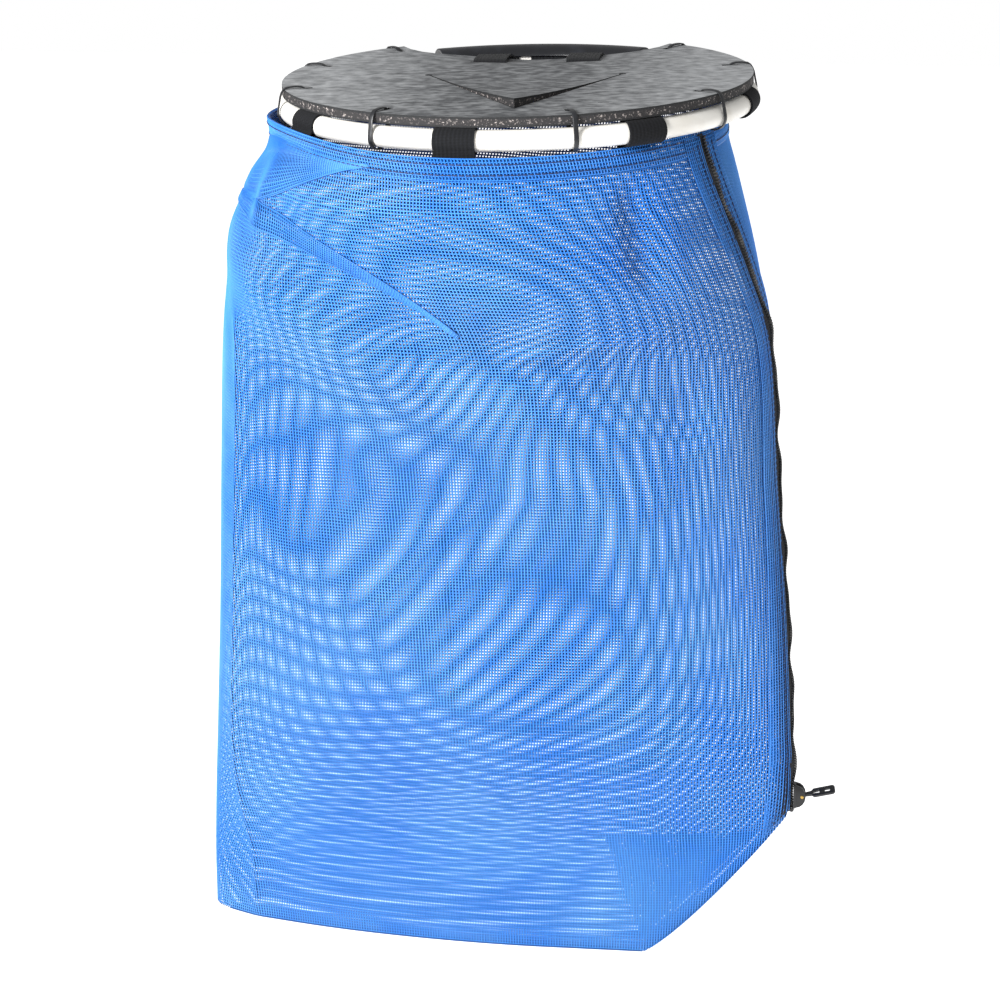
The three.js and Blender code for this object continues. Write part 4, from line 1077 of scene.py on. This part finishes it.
def buildLid():
    low, high = lidSize["lift"] - 20, lidSize["lift"] + 40
    clearSelection()
    bpy.ops.mesh.primitive_grid_add(
        x_subdivisions=lidSize["grid"], y_subdivisions=lidSize["grid"], size=380 * mm,
        location=(0, 0, lidSize["lift"] * mm))
    lid = namePiece("rubber_lid")
    applyPlace(lid)
    applyModifier(lid, "SOLIDIFY", thickness=lidSize["thickness"] * mm, offset=1)
    clearSelection()
    bpy.ops.mesh.primitive_cylinder_add(vertices=200, radius=lidSize["radius"] * mm, depth=100 * mm)
    cutAway(lid, namePiece("disc"), "INTERSECT")
    left, tip, right = (np.array(flapSize[key], float) for key in ("left", "tip", "right"))
    slits = []
    for stop in (left, right):
        run = unit(stop - tip)
        slits.append(boxOutline((tip - run * flapSize["slit"] + stop) / 2, run,
                                np.linalg.norm(stop - tip) + flapSize["slit"], flapSize["slit"]))
    turn = np.radians(np.arange(0, 360, 18))
    circle = np.stack([np.cos(turn), np.sin(turn)], axis=-1) * flapSize["hole"]
    holes = [[tuple(point) for point in stop + circle] for stop in (left, right)]
    hand = [(60, 113), (78, 114.5), (90, 120), (101, 131), (110, 147), (114, 160), (118, 201)]
    cuts = [hand + [(-x, y) for x, y in reversed(hand)], slits[0], holes[1]]
    for angle in tieAngles:
        cuts.append(boxOutline(heading(angle) * lidSize["tieSlit"], heading(angle), *cutSize["tie"]))
    for x in strapPlaces:
        cuts.append(boxOutline((x, slotY), (1, 0), *cutSize["strap"]))
    for place in ((-76, -122), (76, -124)):  # short slits beside the flap
        cuts.append(boxOutline(place, (1, 0.05), *cutSize["side"]))
    cutAway(lid, prisms("cuts", cuts, low, high))
    cutAway(lid, prisms("more_cuts", [slits[1], holes[0]], low, high))
    editWhole(lid)
    bpy.ops.mesh.remove_doubles(threshold=0.05 * mm)
    clearSelection()

    mesh = lid.data
    points = np.empty(len(mesh.vertices) * 3)
    mesh.vertices.foreach_get("co", points)
    points = points.reshape(-1, 3) / mm
    share = np.clip((points[:, 2] - lidSize["lift"]) / lidSize["thickness"], 0, 1)
    mesh.attributes.new("slabHeight", "FLOAT", "POINT").data.foreach_set("value", share.astype(np.float32))
    mesh.materials.append(rubberFace)
    mesh.materials.append(rubberCut)
    for face in mesh.polygons:
        face.material_index = 0 if abs(face.normal.z) > 0.7 else 1
    flat = points[:, :2]

    def beside(a, b, spot):  # over 0 on the left of the line from a to b
        return (b[0] - a[0]) * (spot[..., 1] - a[1]) - (b[1] - a[1]) * (spot[..., 0] - a[0])

    onFlap = (beside(left, tip, flat) > 0) & (beside(tip, right, flat) > 0)
    reach = beside(right, left, flat) / abs(beside(right, left, tip))
    raised = np.where(onFlap, flapSize["raised"] * np.clip(reach, 0, 1) ** 2, 0)
    points[:, 2] += lidWarp(flat[:, 0], flat[:, 1]) + raised
    mesh.vertices.foreach_set("co", (points @ mouthArray.T * mm).ravel())
    mesh.update()
    smoothByAngle(lid, 35)
    dress(lid, None, ["lid"])
    print("lid", len(mesh.polygons), "faces")


def buildGrip():
    size = dict(inner=10.9, outer=13.4, backLip=25, frontLip=156, middle=179, halfAngle=28.5)
    turn = np.radians(np.linspace(size["backLip"], size["frontLip"], 25))
    arc = np.stack([np.cos(turn), np.sin(turn)], axis=-1)
    outline = np.concatenate([arc * size["outer"], arc[::-1] * size["inner"]])
    angles = size["middle"] + size["halfAngle"] * np.linspace(-1, 1, 49)
    points, faces = tubeArrays(np.stack([onRing(angle, outline) for angle in angles]))
    grip = meshFromArrays("grip_shell", points, faces)
    outwardFaces(grip)
    breakEdges(grip, 0.6, 3, 50)
    smoothByAngle(grip)
    dress(grip, gripBlack, ["handle_grip"])


def buildStraps():
    size = dict(width=26, thickness=1.3, clearance=0.9, edge=115, bendRun=14, bendRise=0.4)
    half = size["thickness"] / 2
    radius, bendY = ringSize["tube"] + size["clearance"] + half, size["edge"] - size["bendRun"]
    for k, x in enumerate(strapPlaces):
        sides = x + np.array([-1, 0, 1]) * size["width"] / 2

        def over(y):
            top = lidSize["lift"] + lidSize["thickness"]
            return top + lidWarp(sides, y).max() + half + size["clearance"]

        def under(y):
            return lidSize["lift"] + lidWarp(sides, y).min() - half - size["clearance"]

        turn = np.radians(np.arange(172, -117, -12))
        aroundTube = np.stack([np.cos(turn), np.sin(turn)], axis=-1) * radius
        lead = [(bendY, under(bendY) - size["bendRise"]), (slotY, under(slotY)), (slotY, over(slotY)),
                (bendY, over(bendY) + size["bendRise"]), (size["edge"], over(size["edge"]))]

        def pathAt(u):
            tubeY = math.sqrt(ringSize["radius"] ** 2 - (x + u * size["width"] / 2) ** 2)
            return cutCorners(np.concatenate([aroundTube + (tubeY, 0), lead]), 2)

        def place(u, flat):
            return np.column_stack([np.full(len(flat), x + u * size["width"] / 2), flat]) @ mouthArray.T

        strap = band(f"strap_{k + 1}", pathAt, place, size["width"], size["thickness"], ribs=9, across=37)
        finishFaces(strap, 60)
        dress(strap, elastic, [f"handle_strap_{k + 1}"])


buildRing()
buildLoops()
buildTies()
buildLid()
buildGrip()
buildStraps()
print("mouth done")


# Floor, light and camera

def buildStage():
    view = dict(eye=(246.0, -2317.9, 369.7), tilt=73.44, turn=6.4, lens=109.33)
    key = dict(place=(-1.5, -2.0, 0.9), aim=(0, 0, -0.24), size=0.9, power=125)  # metres
    scene = bpy.context.scene
    clearSelection()
    bpy.ops.mesh.primitive_plane_add(size=14, location=(0, 0, -1.0))
    floor = namePiece("floor")
    paint = newMaterial("pale studio floor", Roughness=0.9, Base_Color="#f4f4f4",
                        Emission_Color="#ffffff", Emission_Strength=0.75)[0]
    floor.data.materials.append(paint)
    world = bpy.data.worlds.new("studio")
    world.use_nodes = True
    scene.world = world
    tree = world.node_tree
    background = tree.nodes["Background"]
    background.inputs["Color"].default_value = (1, 1, 1, 1)
    seen = addNode(tree, "LightPath").outputs["Is Camera Ray"]
    strength = addNode(tree, "MapRange", {"Value": seen, "To Min": 0.46, "To Max": 1.0})
    tree.links.new(mainOutput(strength), background.inputs["Strength"])
    light = bpy.data.lights.new("key", "AREA")
    light.energy, light.size = key["power"], key["size"]
    lamp = addObject("key", light)
    lamp.location = key["place"]
    lamp.rotation_euler = (Vector(key["aim"]) - lamp.location).to_track_quat("-Z", "Y").to_euler()
    camera = bpy.data.cameras.new("camera")
    camera.lens, camera.sensor_width = view["lens"], 36
    eye = addObject("camera", camera)
    eye.location = Vector(view["eye"]) * mm
    eye.rotation_euler = (math.radians(view["tilt"]), 0, math.radians(view["turn"]))
    scene.camera = eye
    scene.view_settings.view_transform = "Standard"


buildStage()
